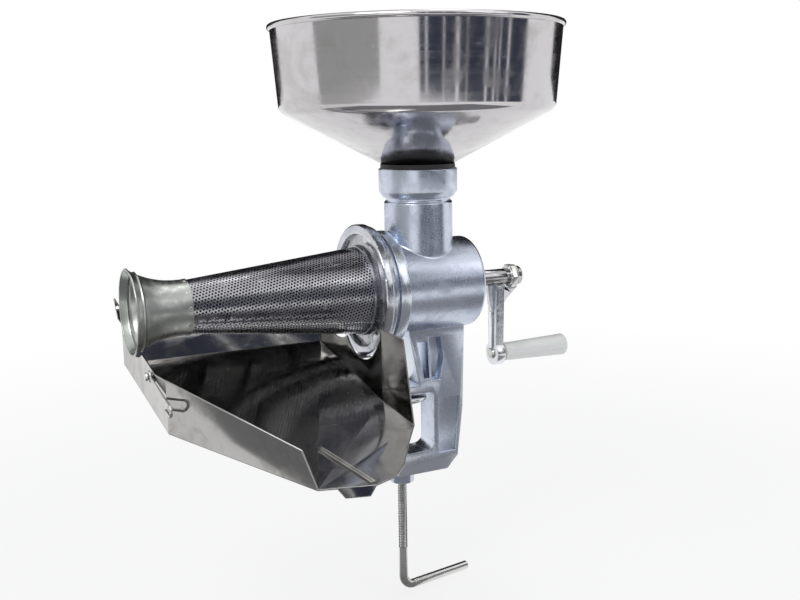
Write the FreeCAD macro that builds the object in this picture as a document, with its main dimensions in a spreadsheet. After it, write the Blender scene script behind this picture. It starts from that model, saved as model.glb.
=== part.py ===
import FreeCAD, Part
import math
import os
import Sketcher

# Hand-cranked tomato strainer with a table clamp.
# Every sub-part is drawn about the drive axis (X) and the neck axis (Z), then placed so that
# the underside of the clamp jaw, above the clamp screw, is the origin. +X points to the crank.

Vector = FreeCAD.Vector
doc = FreeCAD.newDocument("strainer")
sheet = doc.addObject("Spreadsheet::Sheet", "sizes")


class Size:
    """A number together with the sheet expression that gives it."""

    def __init__(self, value, text):
        self.value = float(value)
        self.text = text

    def join(self, other, sign, value):
        return Size(value, "(" + self.text + " " + sign + " " + as_size(other).text + ")")

    def __add__(self, other):
        return self.join(other, "+", self.value + as_size(other).value)

    def __sub__(self, other):
        return self.join(other, "-", self.value - as_size(other).value)

    def __mul__(self, other):
        return self.join(other, "*", self.value * as_size(other).value)

    def __truediv__(self, other):
        return self.join(other, "/", self.value / as_size(other).value)

    def __neg__(self):
        return Size(-self.value, "(0 - " + self.text + ")")


def as_size(item):
    """Return the item as a Size, writing a plain number as its own text."""
    if isinstance(item, Size):
        return item
    return Size(item, repr(float(item)))


row_count = 0


def size(name, value):
    """Write one named value to the sheet and return it."""
    global row_count
    row_count += 1
    sheet.set("A" + str(row_count), name)
    sheet.set("B" + str(row_count), repr(float(value)))
    sheet.setAlias("B" + str(row_count), name)
    return Size(value, "sizes." + name)


# Place of the drive axis over the table seat
seat_forward = size("seat_forward", 19.0)
seat_height = size("seat_height", 91.5)

# Clearances
run_gap = size("run_gap", 0.05)
slip_gap = size("slip_gap", 0.08)

# Hopper
hopper_rim_r = size("hopper_rim_r", 117.6)
hopper_rim_z = size("hopper_rim_z", 210.8)
hopper_shoulder_r = size("hopper_shoulder_r", 112.6)
hopper_shoulder_z = size("hopper_shoulder_z", 144.8)
hopper_foot_z = size("hopper_foot_z", 101.4)
hopper_tube_r = size("hopper_tube_r", 26.0)
hopper_foot_ledge = size("hopper_foot_ledge", 3.8)
hopper_foot_r = hopper_tube_r + hopper_foot_ledge
hopper_tube_end_z = size("hopper_tube_end_z", 82.0)
hopper_sheet = size("hopper_sheet", 1.0)
hopper_shoulder_bend = size("hopper_shoulder_bend", 9.0)
hopper_bead_r = size("hopper_bead_r", 2.4)

# Neck of the casting
collar_wall = size("collar_wall", 6.5)
collar_r = hopper_tube_r + collar_wall
collar_top_z = size("collar_top_z", 97.9)
collar_low_z = size("collar_low_z", 79.0)
collar_foot_step = size("collar_foot_step", 3.2)
collar_foot_r = collar_r - collar_foot_step
collar_foot_z = size("collar_foot_z", 74.2)
neck_groove_depth = size("neck_groove_depth", 1.5)
neck_groove_z = size("neck_groove_z", 71.4)
neck_bore_r = size("neck_bore_r", 23.0)
neck_wall = size("neck_wall", 5.4)
neck_pipe_r = neck_bore_r + neck_wall
neck_fillet = size("neck_fillet", 3.0)
neck_ledge_z = size("neck_ledge_z", 81.0)

# Barrel of the casting
barrel_r = size("barrel_r", 38.5)
barrel_bore_r = size("barrel_bore_r", 33.5)
barrel_front_x = size("barrel_front_x", -50.0)
barrel_rear_x = size("barrel_rear_x", 44.0)
barrel_dome_r = size("barrel_dome_r", 3.5)
rear_wall = size("rear_wall", 5.0)
boss_r = size("boss_r", 13.0)
boss_end_x = size("boss_end_x", 54.0)
flange_r = size("flange_r", 47.6)
flange_front_x = size("flange_front_x", -40.0)
flange_rear_x = size("flange_rear_x", -31.0)
spigot_wall = size("spigot_wall", 7.3)
spigot_bore_r = size("spigot_bore_r", 37.0)
spigot_r = spigot_bore_r + spigot_wall

# Strainer
cone_wide_r = size("cone_wide_r", 35.6)
cone_narrow_r = size("cone_narrow_r", 20.4)
cone_narrow_x = size("cone_narrow_x", -203.0)
cone_sheet = size("cone_sheet", 1.0)
strainer_flange_r = size("strainer_flange_r", 46.2)
strainer_flange_thick = size("strainer_flange_thick", 1.6)
strainer_hub = size("strainer_hub", 7.0)
gasket_thick = size("gasket_thick", 1.4)
notch_angle = size("notch_angle", 22.0)
trumpet_waist_x = size("trumpet_waist_x", -207.0)
trumpet_end_x = size("trumpet_end_x", -243.0)
trumpet_flare = size("trumpet_flare", 61.2)
trumpet_sleeve = size("trumpet_sleeve", 4.0)
trumpet_bead_x = size("trumpet_bead_x", -236.5)
trumpet_bead_half = size("trumpet_bead_half", 0.9)
trumpet_bead_rise = size("trumpet_bead_rise", 1.3)

# Bayonet ring in front of the casting
flange_gap = size("flange_gap", 0.2)
ring_wall = size("ring_wall", 7.6)
ring_step = size("ring_step", 1.8)
ring_mouth_r = strainer_flange_r + flange_gap
ring_r = ring_mouth_r + ring_wall
ring_step_r = ring_r - ring_step
ring_front_x = size("ring_front_x", -56.0)
ring_step_x = size("ring_step_x", -48.6)
ring_rear_x = size("ring_rear_x", -45.5)
lug_depth = size("lug_depth", 4.0)
lug_inner_r = ring_mouth_r - lug_depth
lug_rear_x = size("lug_rear_x", -53.0)
lug_angle = size("lug_angle", 15.0)
lug_first = size("lug_first", 18.0)
lug_count = 3

# Drive line
shaft_r = size("shaft_r", 6.0)
shaft_thread_r = size("shaft_thread_r", 4.9)
shaft_nose_x = size("shaft_nose_x", -22.0)
shaft_square = size("shaft_square", 9.0)
shaft_collar_r = size("shaft_collar_r", 8.6)
shaft_end_x = size("shaft_end_x", 100.0)
bushing_wall = size("bushing_wall", 2.2)
auger_core_rear_r = size("auger_core_rear_r", 11.0)
auger_core_front_r = size("auger_core_front_r", 6.5)
auger_rear_x = size("auger_rear_x", 31.0)
auger_front_x = size("auger_front_x", -205.0)
auger_pitch = size("auger_pitch", 30.0)
auger_blade = size("auger_blade", 3.2)
auger_gap = size("auger_gap", 1.0)

# Crank
hub_r = size("hub_r", 6.9)
hub_front_x = size("hub_front_x", 57.0)
hub_rear_x = size("hub_rear_x", 86.0)
crank_throw = size("crank_throw", 68.0)
arm_x = size("arm_x", 71.6)
arm_thick = size("arm_thick", 8.2)
arm_top_half = size("arm_top_half", 8.0)
arm_low_half = size("arm_low_half", 6.2)
arm_boss_r = size("arm_boss_r", 10.4)
arm_rib = size("arm_rib", 2.2)
grip_pin_r = size("grip_pin_r", 3.4)
grip_front_x = size("grip_front_x", 82.4)
grip_end_x = size("grip_end_x", 147.0)
grip_front_r = size("grip_front_r", 7.9)
grip_end_r = size("grip_end_r", 9.7)
washer_thick = size("washer_thick", 1.6)
washer_r = size("washer_r", 9.2)
nut_across = size("nut_across", 19.0)
nut_thick = size("nut_thick", 6.4)
nut_tip = size("nut_tip", 5.2)
nut_tip_r = size("nut_tip_r", 8.3)
web_gap = size("web_gap", 0.5)

# Table clamp
frame_half = size("frame_half", 13.0)
jaw_thick = size("jaw_thick", 7.0)
jaw_reach_x = size("jaw_reach_x", -40.5)
spine_inner_x = size("spine_inner_x", 6.5)
spine_outer_x = size("spine_outer_x", 36.0)
lower_arm_top_z = size("lower_arm_top_z", -142.5)
lower_arm_foot_z = size("lower_arm_foot_z", -162.0)
lower_arm_reach_x = size("lower_arm_reach_x", -31.0)
screw_boss_r = size("screw_boss_r", 10.5)
screw_boss_foot_z = size("screw_boss_foot_z", -170.0)
screw_r = size("screw_r", 3.9)
screw_bend_r = size("screw_bend_r", 11.0)
screw_low_z = size("screw_low_z", -272.0)
screw_handle = size("screw_handle", 71.5)
screw_turn = size("screw_turn", 10.0)
pad_gap = size("pad_gap", 2.2)
pad_r = size("pad_r", 22.0)
pad_thick = size("pad_thick", 3.2)
pad_boss_r = size("pad_boss_r", 7.5)
pad_boss = size("pad_boss", 6.5)
pad_socket = size("pad_socket", 2.5)
pad_top = -seat_height - pad_gap
pad_low = pad_top - pad_thick

# Catch tray: places along X and Y, heights over the back of the floor
tray_sheet = size("tray_sheet", 1.2)
tray_back_y = size("tray_back_y", 40.0)
tray_ring_drop = size("tray_ring_drop", 6.0)
tray_back_z = tray_ring_drop - ring_r
tray_fall = 0.2
tray_wall = size("tray_wall", 44.0)
tray_left_x = size("tray_left_x", -240.0)
tray_right_x = size("tray_right_x", -75.0)
tray_bend_y = size("tray_bend_y", -80.0)
tray_bend_left_x = size("tray_bend_left_x", -236.0)
tray_bend_right_x = size("tray_bend_right_x", -73.0)
tray_corner_x = size("tray_corner_x", -68.0)
tray_corner_y = size("tray_corner_y", -121.0)
wing_low_x = size("wing_low_x", -85.5)
wing_low_y = size("wing_low_y", -146.0)
wing_middle_x = size("wing_middle_x", -100.5)
wing_middle_y = size("wing_middle_y", -169.5)
wing_end_x = size("wing_end_x", -112.0)
wing_end_y = size("wing_end_y", -181.0)
spout_left_x = size("spout_left_x", -167.0)
spout_left_y = size("spout_left_y", -180.5)
spout_right_x = size("spout_right_x", -129.5)
spout_right_y = size("spout_right_y", -187.0)
spout_drop = size("spout_drop", 6.0)
left_step_y = size("left_step_y", -8.0)
left_step_height = size("left_step_height", 21.5)
left_slope_y = size("left_slope_y", -50.7)
left_slope_height = size("left_slope_height", 11.2)
left_bend_height = size("left_bend_height", 13.2)
left_end_y = size("left_end_y", -171.0)
left_end_height = size("left_end_height", -19.6)
right_bend_height = size("right_bend_height", 31.0)
right_end_y = size("right_end_y", -108.5)
right_end_height = size("right_end_height", 29.0)
ear_out = size("ear_out", 5.0)
ear_up = size("ear_up", 8.5)
ear_hole_r = size("ear_hole_r", 1.4)
tray_notch_gap = size("tray_notch_gap", 2.7)
tray_dip_r = size("tray_dip_r", 34.0)
tray_dip_y = size("tray_dip_y", -44.0)
tray_dip_z = size("tray_dip_z", -12.0)
tray_mouth_gap = size("tray_mouth_gap", 0.6)
strap_half = size("strap_half", 8.0)
strap_under = size("strap_under", 1.0)
hem_start_x = size("hem_start_x", -146.0)
hem_start_y = size("hem_start_y", -132.0)
hem_half = size("hem_half", 1.9)
hem_thick = size("hem_thick", 0.8)
latch_wire_r = size("latch_wire_r", 1.1)
latch_knob_r = size("latch_knob_r", 3.4)
latch_knob_y = size("latch_knob_y", -43.0)
latch_knob_height = size("latch_knob_height", 8.5)
latch_aim_y = size("latch_aim_y", -91.0)
latch_aim_height = size("latch_aim_height", -1.0)
latch_length = size("latch_length", 47.0)
latch_hook_r = size("latch_hook_r", 3.6)
latch_tail = size("latch_tail", 9.0)

doc.recompute()

base = FreeCAD.Placement(Vector(seat_forward.value, 0, seat_height.value), FreeCAD.Rotation())
pieces = []


def place(item, name):
    """Give a finished sub-part its name and its place over the table seat."""
    item.Label = name
    item.Placement = base
    item.setExpression("Placement.Base.x", seat_forward.text)
    item.setExpression("Placement.Base.z", seat_height.text)
    pieces.append(item)
    return item


def new_body(name):
    """Start a body for one sub-part."""
    return place(doc.addObject("PartDesign::Body", name), name)


def plane(body, role):
    """Return one of the body's own origin planes or axes."""
    for item in body.Origin.OriginFeatures:
        if item.Role == role:
            return item
    raise ValueError(role)


def new_sketch(body, role, shift=None):
    """Add an empty sketch on an origin plane, moved along its normal."""
    name = body.Name + "_sketch" + str(len(body.Group))
    sketch = body.newObject("Sketcher::SketchObject", name)
    sketch.AttachmentSupport = (plane(body, role), [""])
    sketch.MapMode = "FlatFace"
    if shift is not None:
        sketch.AttachmentOffset = FreeCAD.Placement(Vector(0, 0, shift.value), FreeCAD.Rotation())
        sketch.setExpression("AttachmentOffset.Base.z", shift.text)
    return sketch


def pin_down(sketch, geometry, corner, point):
    """Bind one sketch point to its two sizes."""
    for kind, item in (("DistanceX", point[0]), ("DistanceY", point[1])):
        item = as_size(item)
        number = sketch.addConstraint(
            Sketcher.Constraint(kind, -1, 1, geometry, corner, item.value))
        sketch.setExpression("Constraints[" + str(number) + "]", item.text)


def arc_between(start, end, radius, side):
    """Return the short arc from start to end that bulges to the given side."""
    chord = end.sub(start)
    half = chord.Length / 2.0
    rise = math.sqrt(max(radius * radius - half * half, 0.0))
    normal = Vector(-chord.y, chord.x, 0).normalize()
    middle = start.add(end).multiply(0.5)
    centre = middle.sub(Vector(normal).multiply(side * rise))
    top = centre.add(Vector(normal).multiply(side * radius))
    return Part.Arc(start, top, end)


def outline(sketch, points):
    """Draw a closed outline. A point may carry the radius and side of the arc that leaves it."""
    count = len(points)
    spots = [Vector(as_size(p[0]).value, as_size(p[1]).value, 0) for p in points]
    starts = []
    for index, point in enumerate(points):
        here = spots[index]
        there = spots[(index + 1) % count]
        if len(point) == 4:
            arc = arc_between(here, there, as_size(point[2]).value, point[3])
            number = sketch.addGeometry(arc, False)
            begins = sketch.getPoint(number, 1).sub(here).Length < 1e-6
            starts.append((number, 1 if begins else 2))
        else:
            number = sketch.addGeometry(Part.LineSegment(here, there), False)
            starts.append((number, 1))
    for index in range(count):
        number, corner = starts[index]
        after, after_corner = starts[(index + 1) % count]
        sketch.addConstraint(
            Sketcher.Constraint("Coincident", number, 3 - corner, after, after_corner))
    for index, point in enumerate(points):
        number, corner = starts[index]
        pin_down(sketch, number, corner, point)
        if len(point) == 4:
            radius = as_size(point[2])
            bound = sketch.addConstraint(Sketcher.Constraint("Radius", number, radius.value))
            sketch.setExpression("Constraints[" + str(bound) + "]", radius.text)


def circle(sketch, x, y, radius):
    """Draw one circle bound to its sizes."""
    x = as_size(x)
    y = as_size(y)
    radius = as_size(radius)
    number = sketch.addGeometry(
        Part.Circle(Vector(x.value, y.value, 0), Vector(0, 0, 1), radius.value), False)
    pin_down(sketch, number, 3, (x, y))
    bound = sketch.addConstraint(Sketcher.Constraint("Radius", number, radius.value))
    sketch.setExpression("Constraints[" + str(bound) + "]", radius.text)


def turn(body, points, axis="H_Axis", cut=False, ring=None):
    """Revolve a profile of the XZ plane about the drive axis or the neck axis."""
    sketch = new_sketch(body, "XZ_Plane")
    if ring is None:
        outline(sketch, points)
    else:
        circle(sketch, *ring)
    kind = "PartDesign::Groove" if cut else "PartDesign::Revolution"
    feature = body.newObject(kind, body.Name + "_turn" + str(len(body.Group)))
    feature.Profile = sketch
    feature.ReferenceAxis = (sketch, [axis])
    feature.Angle = 360.0
    doc.recompute()
    return feature


def pull(body, role, points, length, shift=None, cut=False, middle=False, back=False, round_hole=None):
    """Pad or pocket an outline or a circle."""
    sketch = new_sketch(body, role, shift)
    if round_hole is None:
        outline(sketch, points)
    else:
        circle(sketch, *round_hole)
    kind = "PartDesign::Pocket" if cut else "PartDesign::Pad"
    feature = body.newObject(kind, body.Name + "_pull" + str(len(body.Group)))
    feature.Profile = sketch
    feature.Midplane = middle
    feature.Reversed = back
    length = as_size(length)
    feature.Length = length.value
    feature.setExpression("Length", length.text)
    doc.recompute()
    return feature


def dress(body, kind, amount, test):
    """Round or bevel every edge of the body's tip that passes the test."""
    shape = body.Shape.copy()
    shape.Placement = FreeCAD.Placement()
    names = []
    for index, edge in enumerate(shape.Edges):
        if test(edge):
            names.append("Edge" + str(index + 1))
    feature = body.newObject("PartDesign::" + kind, body.Name + "_" + kind + str(len(body.Group)))
    feature.Base = (body.Tip if body.Tip is not feature else body.Group[-2], names)
    amount = as_size(amount)
    if kind == "Fillet":
        feature.Radius = amount.value
        feature.setExpression("Radius", amount.text)
    else:
        feature.Size = amount.value
        feature.setExpression("Size", amount.text)
    doc.recompute()
    return feature


def ring_edge(axis, along, radius, slack=0.05):
    """Return a test for a full circular edge about the drive axis or the neck axis."""

    def test(edge):
        curve = edge.Curve
        if not isinstance(curve, Part.Circle) or len(edge.Vertexes) > 1:
            return False
        centre = curve.Center
        place_along = centre.x if axis == "x" else centre.z
        return abs(curve.Radius - radius) < slack and abs(place_along - along) < slack

    return test


def keep_shape(name, shape):
    """Add a sub-part whose shape comes from Part functions and the sheet's sizes."""
    item = doc.addObject("Part::Feature", name)
    item.Shape = shape
    return place(item, name)


# Hopper: thin funnel turned about the neck axis, with a rolled bead round the rim
hopper = new_body("hopper")
turn(hopper, [
    (hopper_tube_r, hopper_tube_end_z),
    (hopper_tube_r, hopper_foot_z),
    (hopper_foot_r, hopper_foot_z),
    (hopper_shoulder_r, hopper_shoulder_z),
    (hopper_rim_r, hopper_rim_z),
    (hopper_rim_r - hopper_sheet, hopper_rim_z),
    (hopper_shoulder_r - hopper_sheet, hopper_shoulder_z + hopper_sheet * 0.6),
    (hopper_foot_r - hopper_sheet * 0.3, hopper_foot_z + hopper_sheet),
    (hopper_tube_r - hopper_sheet, hopper_foot_z + hopper_sheet),
    (hopper_tube_r - hopper_sheet, hopper_tube_end_z),
], axis="V_Axis")
dress(hopper, "Fillet", hopper_shoulder_bend,
      ring_edge("z", hopper_shoulder_z.value, hopper_shoulder_r.value))
dress(hopper, "Fillet", hopper_shoulder_bend - hopper_sheet,
      ring_edge("z", hopper_shoulder_z.value + hopper_sheet.value * 0.6,
                hopper_shoulder_r.value - hopper_sheet.value))
turn(hopper, None, axis="V_Axis", ring=(hopper_rim_r, hopper_rim_z, hopper_bead_r))

# Hopper seal: ring between the hopper's foot and the collar
seal = new_body("hopper_seal")
turn(seal, [
    (hopper_tube_r + slip_gap, collar_top_z),
    (hopper_foot_r + 1.2, collar_top_z),
    (hopper_foot_r + 1.0, hopper_foot_z),
    (hopper_tube_r + slip_gap, hopper_foot_z),
], axis="V_Axis")

# Casting: barrel with its dome, boss, flange and spigot
casting = new_body("body_casting")
turn(casting, [
    (barrel_front_x, 0.0),
    (barrel_front_x, spigot_r),
    (flange_front_x, spigot_r),
    (flange_front_x, flange_r),
    (flange_rear_x, flange_r),
    (flange_rear_x + 1.2, barrel_r),
    (barrel_rear_x - barrel_dome_r, barrel_r, barrel_dome_r, 1),
    (barrel_rear_x, barrel_r - barrel_dome_r),
    (barrel_rear_x + 5.0, boss_r + 3.0),
    (barrel_rear_x + 7.0, boss_r),
    (boss_end_x, boss_r),
    (boss_end_x, 0.0),
])

# Neck: pipe, groove and collar
turn(casting, [
    (0.0, 0.0),
    (neck_pipe_r, 0.0),
    (neck_pipe_r, neck_groove_z - 1.5),
    (neck_pipe_r - neck_groove_depth, neck_groove_z),
    (neck_pipe_r - neck_groove_depth, collar_foot_z),
    (collar_foot_r, collar_foot_z),
    (collar_r, collar_low_z),
    (collar_r, collar_top_z - 1.2, 1.2, -1),
    (collar_r - 1.2, collar_top_z),
    (0.0, collar_top_z),
], axis="V_Axis")


def neck_foot(edge):
    """Tell the edges where the neck meets the barrel."""
    radii = []
    for face in bare.ancestorsOfType(edge, Part.Face):
        radii.append(getattr(face.Surface, "Radius", 0.0))
    meets = any(abs(radius - neck_pipe_r.value) < 0.01 for radius in radii)
    return meets and edge.BoundBox.ZMax < barrel_r.value + 1.0 and not isinstance(edge.Curve, Part.Line)


bare = casting.Shape.copy()
bare.Placement = FreeCAD.Placement()
foot_edges = []
for number, edge in enumerate(bare.Edges):
    if neck_foot(edge):
        foot_edges.append("Edge" + str(number + 1))
foot_fillet = casting.newObject("PartDesign::Fillet", "neck_foot_fillet")
foot_fillet.Base = (casting.Group[-2], foot_edges)
foot_fillet.Radius = neck_fillet.value
foot_fillet.setExpression("Radius", neck_fillet.text)
doc.recompute()

# Clamp frame: pedestal, jaw, spine and lower arm in one outline
pull(casting, "XZ_Plane", [
    (-17.0, -30.0),
    (-16.0, -44.0),
    (-8.0, jaw_thick - seat_height + 3.5),
    (-6.0, jaw_thick - seat_height),
    (jaw_reach_x, jaw_thick - seat_height),
    (jaw_reach_x, -seat_height),
    (spine_inner_x, -seat_height),
    (spine_inner_x, lower_arm_top_z + 7.0, 7.0, 1),
    (spine_inner_x - 7.0, lower_arm_top_z),
    (lower_arm_reach_x, lower_arm_top_z),
    (lower_arm_reach_x, lower_arm_foot_z + 5.0),
    (lower_arm_reach_x + 4.0, lower_arm_foot_z),
    (spine_outer_x - 17.0, lower_arm_foot_z),
    (spine_outer_x - 6.5, lower_arm_foot_z + 11.0),
    (spine_outer_x - 1.5, -107.0),
    (spine_outer_x, -44.0),
    (spine_outer_x, -30.0),
], frame_half * 2.0, middle=True)

# Pedestal window, side recesses and spine panel
pull(casting, "XZ_Plane", [
    (-9.5, -47.0),
    (0.0, -47.0),
    (2.5, -79.0),
    (-2.5, -79.0),
], frame_half * 2.0 + 2.0, cut=True, middle=True)
for side in (1, -1):
    pull(casting, "XZ_Plane", [
        (2.0, -44.0),
        (12.5, -44.0),
        (15.5, -62.0),
        (12.0, -81.0),
        (4.5, -81.0),
    ], frame_half - 4.0, shift=frame_half * -side, cut=True, back=side > 0)
    pull(casting, "XZ_Plane", [
        (spine_inner_x + 4.5, -98.0),
        (spine_outer_x - 5.5, -98.0),
        (spine_outer_x - 9.5, -146.0),
        (spine_inner_x + 4.5, -146.0),
    ], 2.2, shift=frame_half * -side, cut=True, back=side > 0)

# Boss for the clamp screw under the lower arm
pull(casting, "XY_Plane", None, lower_arm_top_z - screw_boss_foot_z, shift=screw_boss_foot_z,
     round_hole=(-seat_forward, 0.0, screw_boss_r))

# Bores: barrel, spigot seat, shaft, neck, hopper socket and screw
turn(casting, [
    (barrel_front_x - 5.0, 0.0),
    (barrel_front_x - 5.0, spigot_bore_r),
    (barrel_front_x + 8.0, spigot_bore_r),
    (barrel_front_x + 10.0, barrel_bore_r),
    (barrel_rear_x - rear_wall - 4.0, barrel_bore_r),
    (barrel_rear_x - rear_wall, barrel_bore_r - 4.0),
    (barrel_rear_x - rear_wall, shaft_r + bushing_wall),
    (boss_end_x + 5.0, shaft_r + bushing_wall),
    (boss_end_x + 5.0, 0.0),
], cut=True)
turn(casting, [
    (0.0, 0.0),
    (neck_bore_r, 0.0),
    (neck_bore_r, neck_ledge_z),
    (hopper_tube_r + slip_gap, neck_ledge_z),
    (hopper_tube_r + slip_gap, collar_top_z + 5.0),
    (0.0, collar_top_z + 5.0),
], axis="V_Axis", cut=True)
pull(casting, "XY_Plane", None, 60.0, shift=screw_boss_foot_z - 10.0, cut=True, back=True,
     round_hole=(-seat_forward, 0.0, screw_r + run_gap))

# Bushing in the rear boss
bushing = new_body("shaft_bushing")
turn(bushing, [
    (barrel_rear_x - rear_wall, shaft_r + run_gap),
    (boss_end_x + 1.2, shaft_r + run_gap),
    (boss_end_x + 1.2, shaft_r + bushing_wall + 1.6),
    (boss_end_x, shaft_r + bushing_wall + 1.6),
    (boss_end_x, shaft_r + bushing_wall),
    (barrel_rear_x - rear_wall, shaft_r + bushing_wall),
])

# Lip seal between the auger and the rear wall
lip = new_body("shaft_seal")
turn(lip, [
    (barrel_rear_x - rear_wall - 3.0, shaft_r + run_gap * 2.0),
    (barrel_rear_x - rear_wall, shaft_r + run_gap * 2.0),
    (barrel_rear_x - rear_wall, shaft_r + 9.0),
    (barrel_rear_x - rear_wall - 2.0, shaft_r + 9.0),
    (barrel_rear_x - rear_wall - 3.0, shaft_r + 4.0),
])

# Bayonet ring with its three lugs
ring = new_body("bayonet_ring")
turn(ring, [
    (ring_rear_x, spigot_r + 0.02),
    (ring_rear_x, ring_step_r),
    (ring_step_x, ring_step_r),
    (ring_step_x - 1.0, ring_r),
    (ring_front_x + 1.5, ring_r, 1.5, -1),
    (ring_front_x, ring_r - 1.5),
    (ring_front_x, ring_mouth_r),
    (barrel_front_x, ring_mouth_r),
    (barrel_front_x, spigot_r + 0.02),
])


def lug_outline(inner, outer, angle, half):
    """Return the corners of a lug or notch in the plane across the drive axis."""
    corners = []
    for radius, sign in ((inner, -1), (outer, -1), (outer, 1), (inner, 1)):
        bearing = math.radians(angle + sign * half)
        corners.append((radius * -math.sin(bearing), radius * math.cos(bearing)))
    return corners


for number in range(lug_count):
    bearing = lug_first.value + number * 360.0 / lug_count
    pull(ring, "YZ_Plane", lug_outline(lug_inner_r, ring_mouth_r + 2.0, bearing, lug_angle.value / 2.0),
         lug_rear_x - ring_front_x - 0.6, shift=ring_front_x + 0.6)

# Gasket on the spigot's face
gasket = new_body("strainer_gasket")
turn(gasket, [
    (barrel_front_x, spigot_bore_r + 0.5),
    (barrel_front_x, spigot_r - 0.5),
    (barrel_front_x - gasket_thick, spigot_r - 0.5),
    (barrel_front_x - gasket_thick, spigot_bore_r + 0.5),
])

# Flange of the strainer: notched disc with a short hub round the cone
flange = new_body("strainer_flange")
turn(flange, [
    (barrel_front_x - gasket_thick, cone_wide_r),
    (barrel_front_x - gasket_thick, strainer_flange_r),
    (barrel_front_x - gasket_thick - strainer_flange_thick, strainer_flange_r),
    (barrel_front_x - gasket_thick - strainer_flange_thick, cone_wide_r + 1.6),
    (barrel_front_x - gasket_thick - strainer_hub, cone_wide_r + 1.2),
    (barrel_front_x - gasket_thick - strainer_hub, cone_wide_r),
])
for number in range(lug_count):
    bearing = lug_first.value + 60.0 + number * 360.0 / lug_count
    pull(flange, "YZ_Plane",
         lug_outline(lug_inner_r - 0.8, ring_mouth_r + 4.0, bearing, notch_angle.value / 2.0),
         strainer_flange_thick + 2.0, shift=barrel_front_x - gasket_thick - strainer_flange_thick - 1.0,
         cut=True, back=True)

# Strainer cone: tapering tube, straight through the flange
cone_wide_x = barrel_front_x - gasket_thick
cone = new_body("strainer_cone")
turn(cone, [
    (cone_wide_x, cone_wide_r),
    (cone_wide_x - strainer_hub, cone_wide_r),
    (cone_narrow_x, cone_narrow_r),
    (cone_narrow_x, cone_narrow_r - cone_sheet),
    (cone_wide_x - strainer_hub, cone_wide_r - cone_sheet),
    (cone_wide_x, cone_wide_r - cone_sheet),
])

# Outlet trumpet: sleeve over the cone, flared mouth and a rolled bead


def flare_rise(x):
    """Return how far the flare has opened at a distance along the drive axis."""
    run = trumpet_waist_x.value - x.value
    return trumpet_flare.value - math.sqrt(trumpet_flare.value ** 2 - run ** 2)


trumpet_sleeve_r = cone_narrow_r + trumpet_sleeve * 0.1065
trumpet_mouth_r = cone_narrow_r + flare_rise(trumpet_end_x)
trumpet_bead_at_r = cone_narrow_r + flare_rise(trumpet_bead_x) + cone_sheet * 0.57
trumpet = new_body("outlet_trumpet")
turn(trumpet, [
    (cone_narrow_x + trumpet_sleeve, trumpet_sleeve_r),
    (cone_narrow_x + trumpet_sleeve, trumpet_sleeve_r + cone_sheet),
    (cone_narrow_x, cone_narrow_r + cone_sheet),
    (trumpet_waist_x, cone_narrow_r + cone_sheet, trumpet_flare - cone_sheet, 1),
    (trumpet_end_x, trumpet_mouth_r + cone_sheet),
    (trumpet_end_x, trumpet_mouth_r, trumpet_flare, -1),
    (trumpet_waist_x, cone_narrow_r),
    (cone_narrow_x, cone_narrow_r),
])
turn(trumpet, [
    (trumpet_bead_x - trumpet_bead_half, trumpet_bead_at_r),
    (trumpet_bead_x - trumpet_bead_half, trumpet_bead_at_r + trumpet_bead_rise),
    (trumpet_bead_x + trumpet_bead_half, trumpet_bead_at_r + trumpet_bead_rise),
    (trumpet_bead_x + trumpet_bead_half, trumpet_bead_at_r),
])

# Drive shaft: square nose, bearing length, hub seat and threaded end
shaft = new_body("drive_shaft")
turn(shaft, [
    (auger_rear_x, 0.0),
    (auger_rear_x, shaft_collar_r),
    (auger_rear_x + 3.0, shaft_collar_r),
    (auger_rear_x + 3.0, shaft_r),
    (hub_rear_x - 0.4, shaft_r),
    (hub_rear_x - 0.4, shaft_thread_r),
    (shaft_end_x - 1.0, shaft_thread_r),
    (shaft_end_x, shaft_thread_r - 1.0),
    (shaft_end_x, 0.0),
])
half_square = shaft_square * 0.5
pull(shaft, "YZ_Plane", [
    (-half_square, -half_square),
    (half_square, -half_square),
    (half_square, half_square),
    (-half_square, half_square),
], auger_rear_x - shaft_nose_x, shift=shaft_nose_x)


def blade_sweep(inner, reach, length, half):
    """Return one helical blade of the feed screw between two radii."""
    helix = Part.makeHelix(auger_pitch.value, length, inner)
    helix.Placement = FreeCAD.Placement(Vector(auger_rear_x.value - auger_blade.value, 0, 0),
                                        FreeCAD.Rotation(Vector(0, 1, 0), -90))
    edge = helix.Edges[0]
    start = edge.valueAt(edge.FirstParameter)
    outward = Vector(0, start.y, start.z).normalize()
    corners = []
    for along, radius in ((-half, inner), (half, inner), (half, reach), (-half, reach)):
        corners.append(Vector(start.x + along, 0, 0).add(Vector(outward).multiply(radius)))
    sweep = Part.BRepOffsetAPI.MakePipeShell(Part.Wire(helix.Edges))
    sweep.setBiNormalMode(Vector(1, 0, 0))
    sweep.add(Part.Wire(Part.makePolygon(corners + [corners[0]])))
    sweep.build()
    sweep.makeSolid()
    return sweep.shape()


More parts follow.
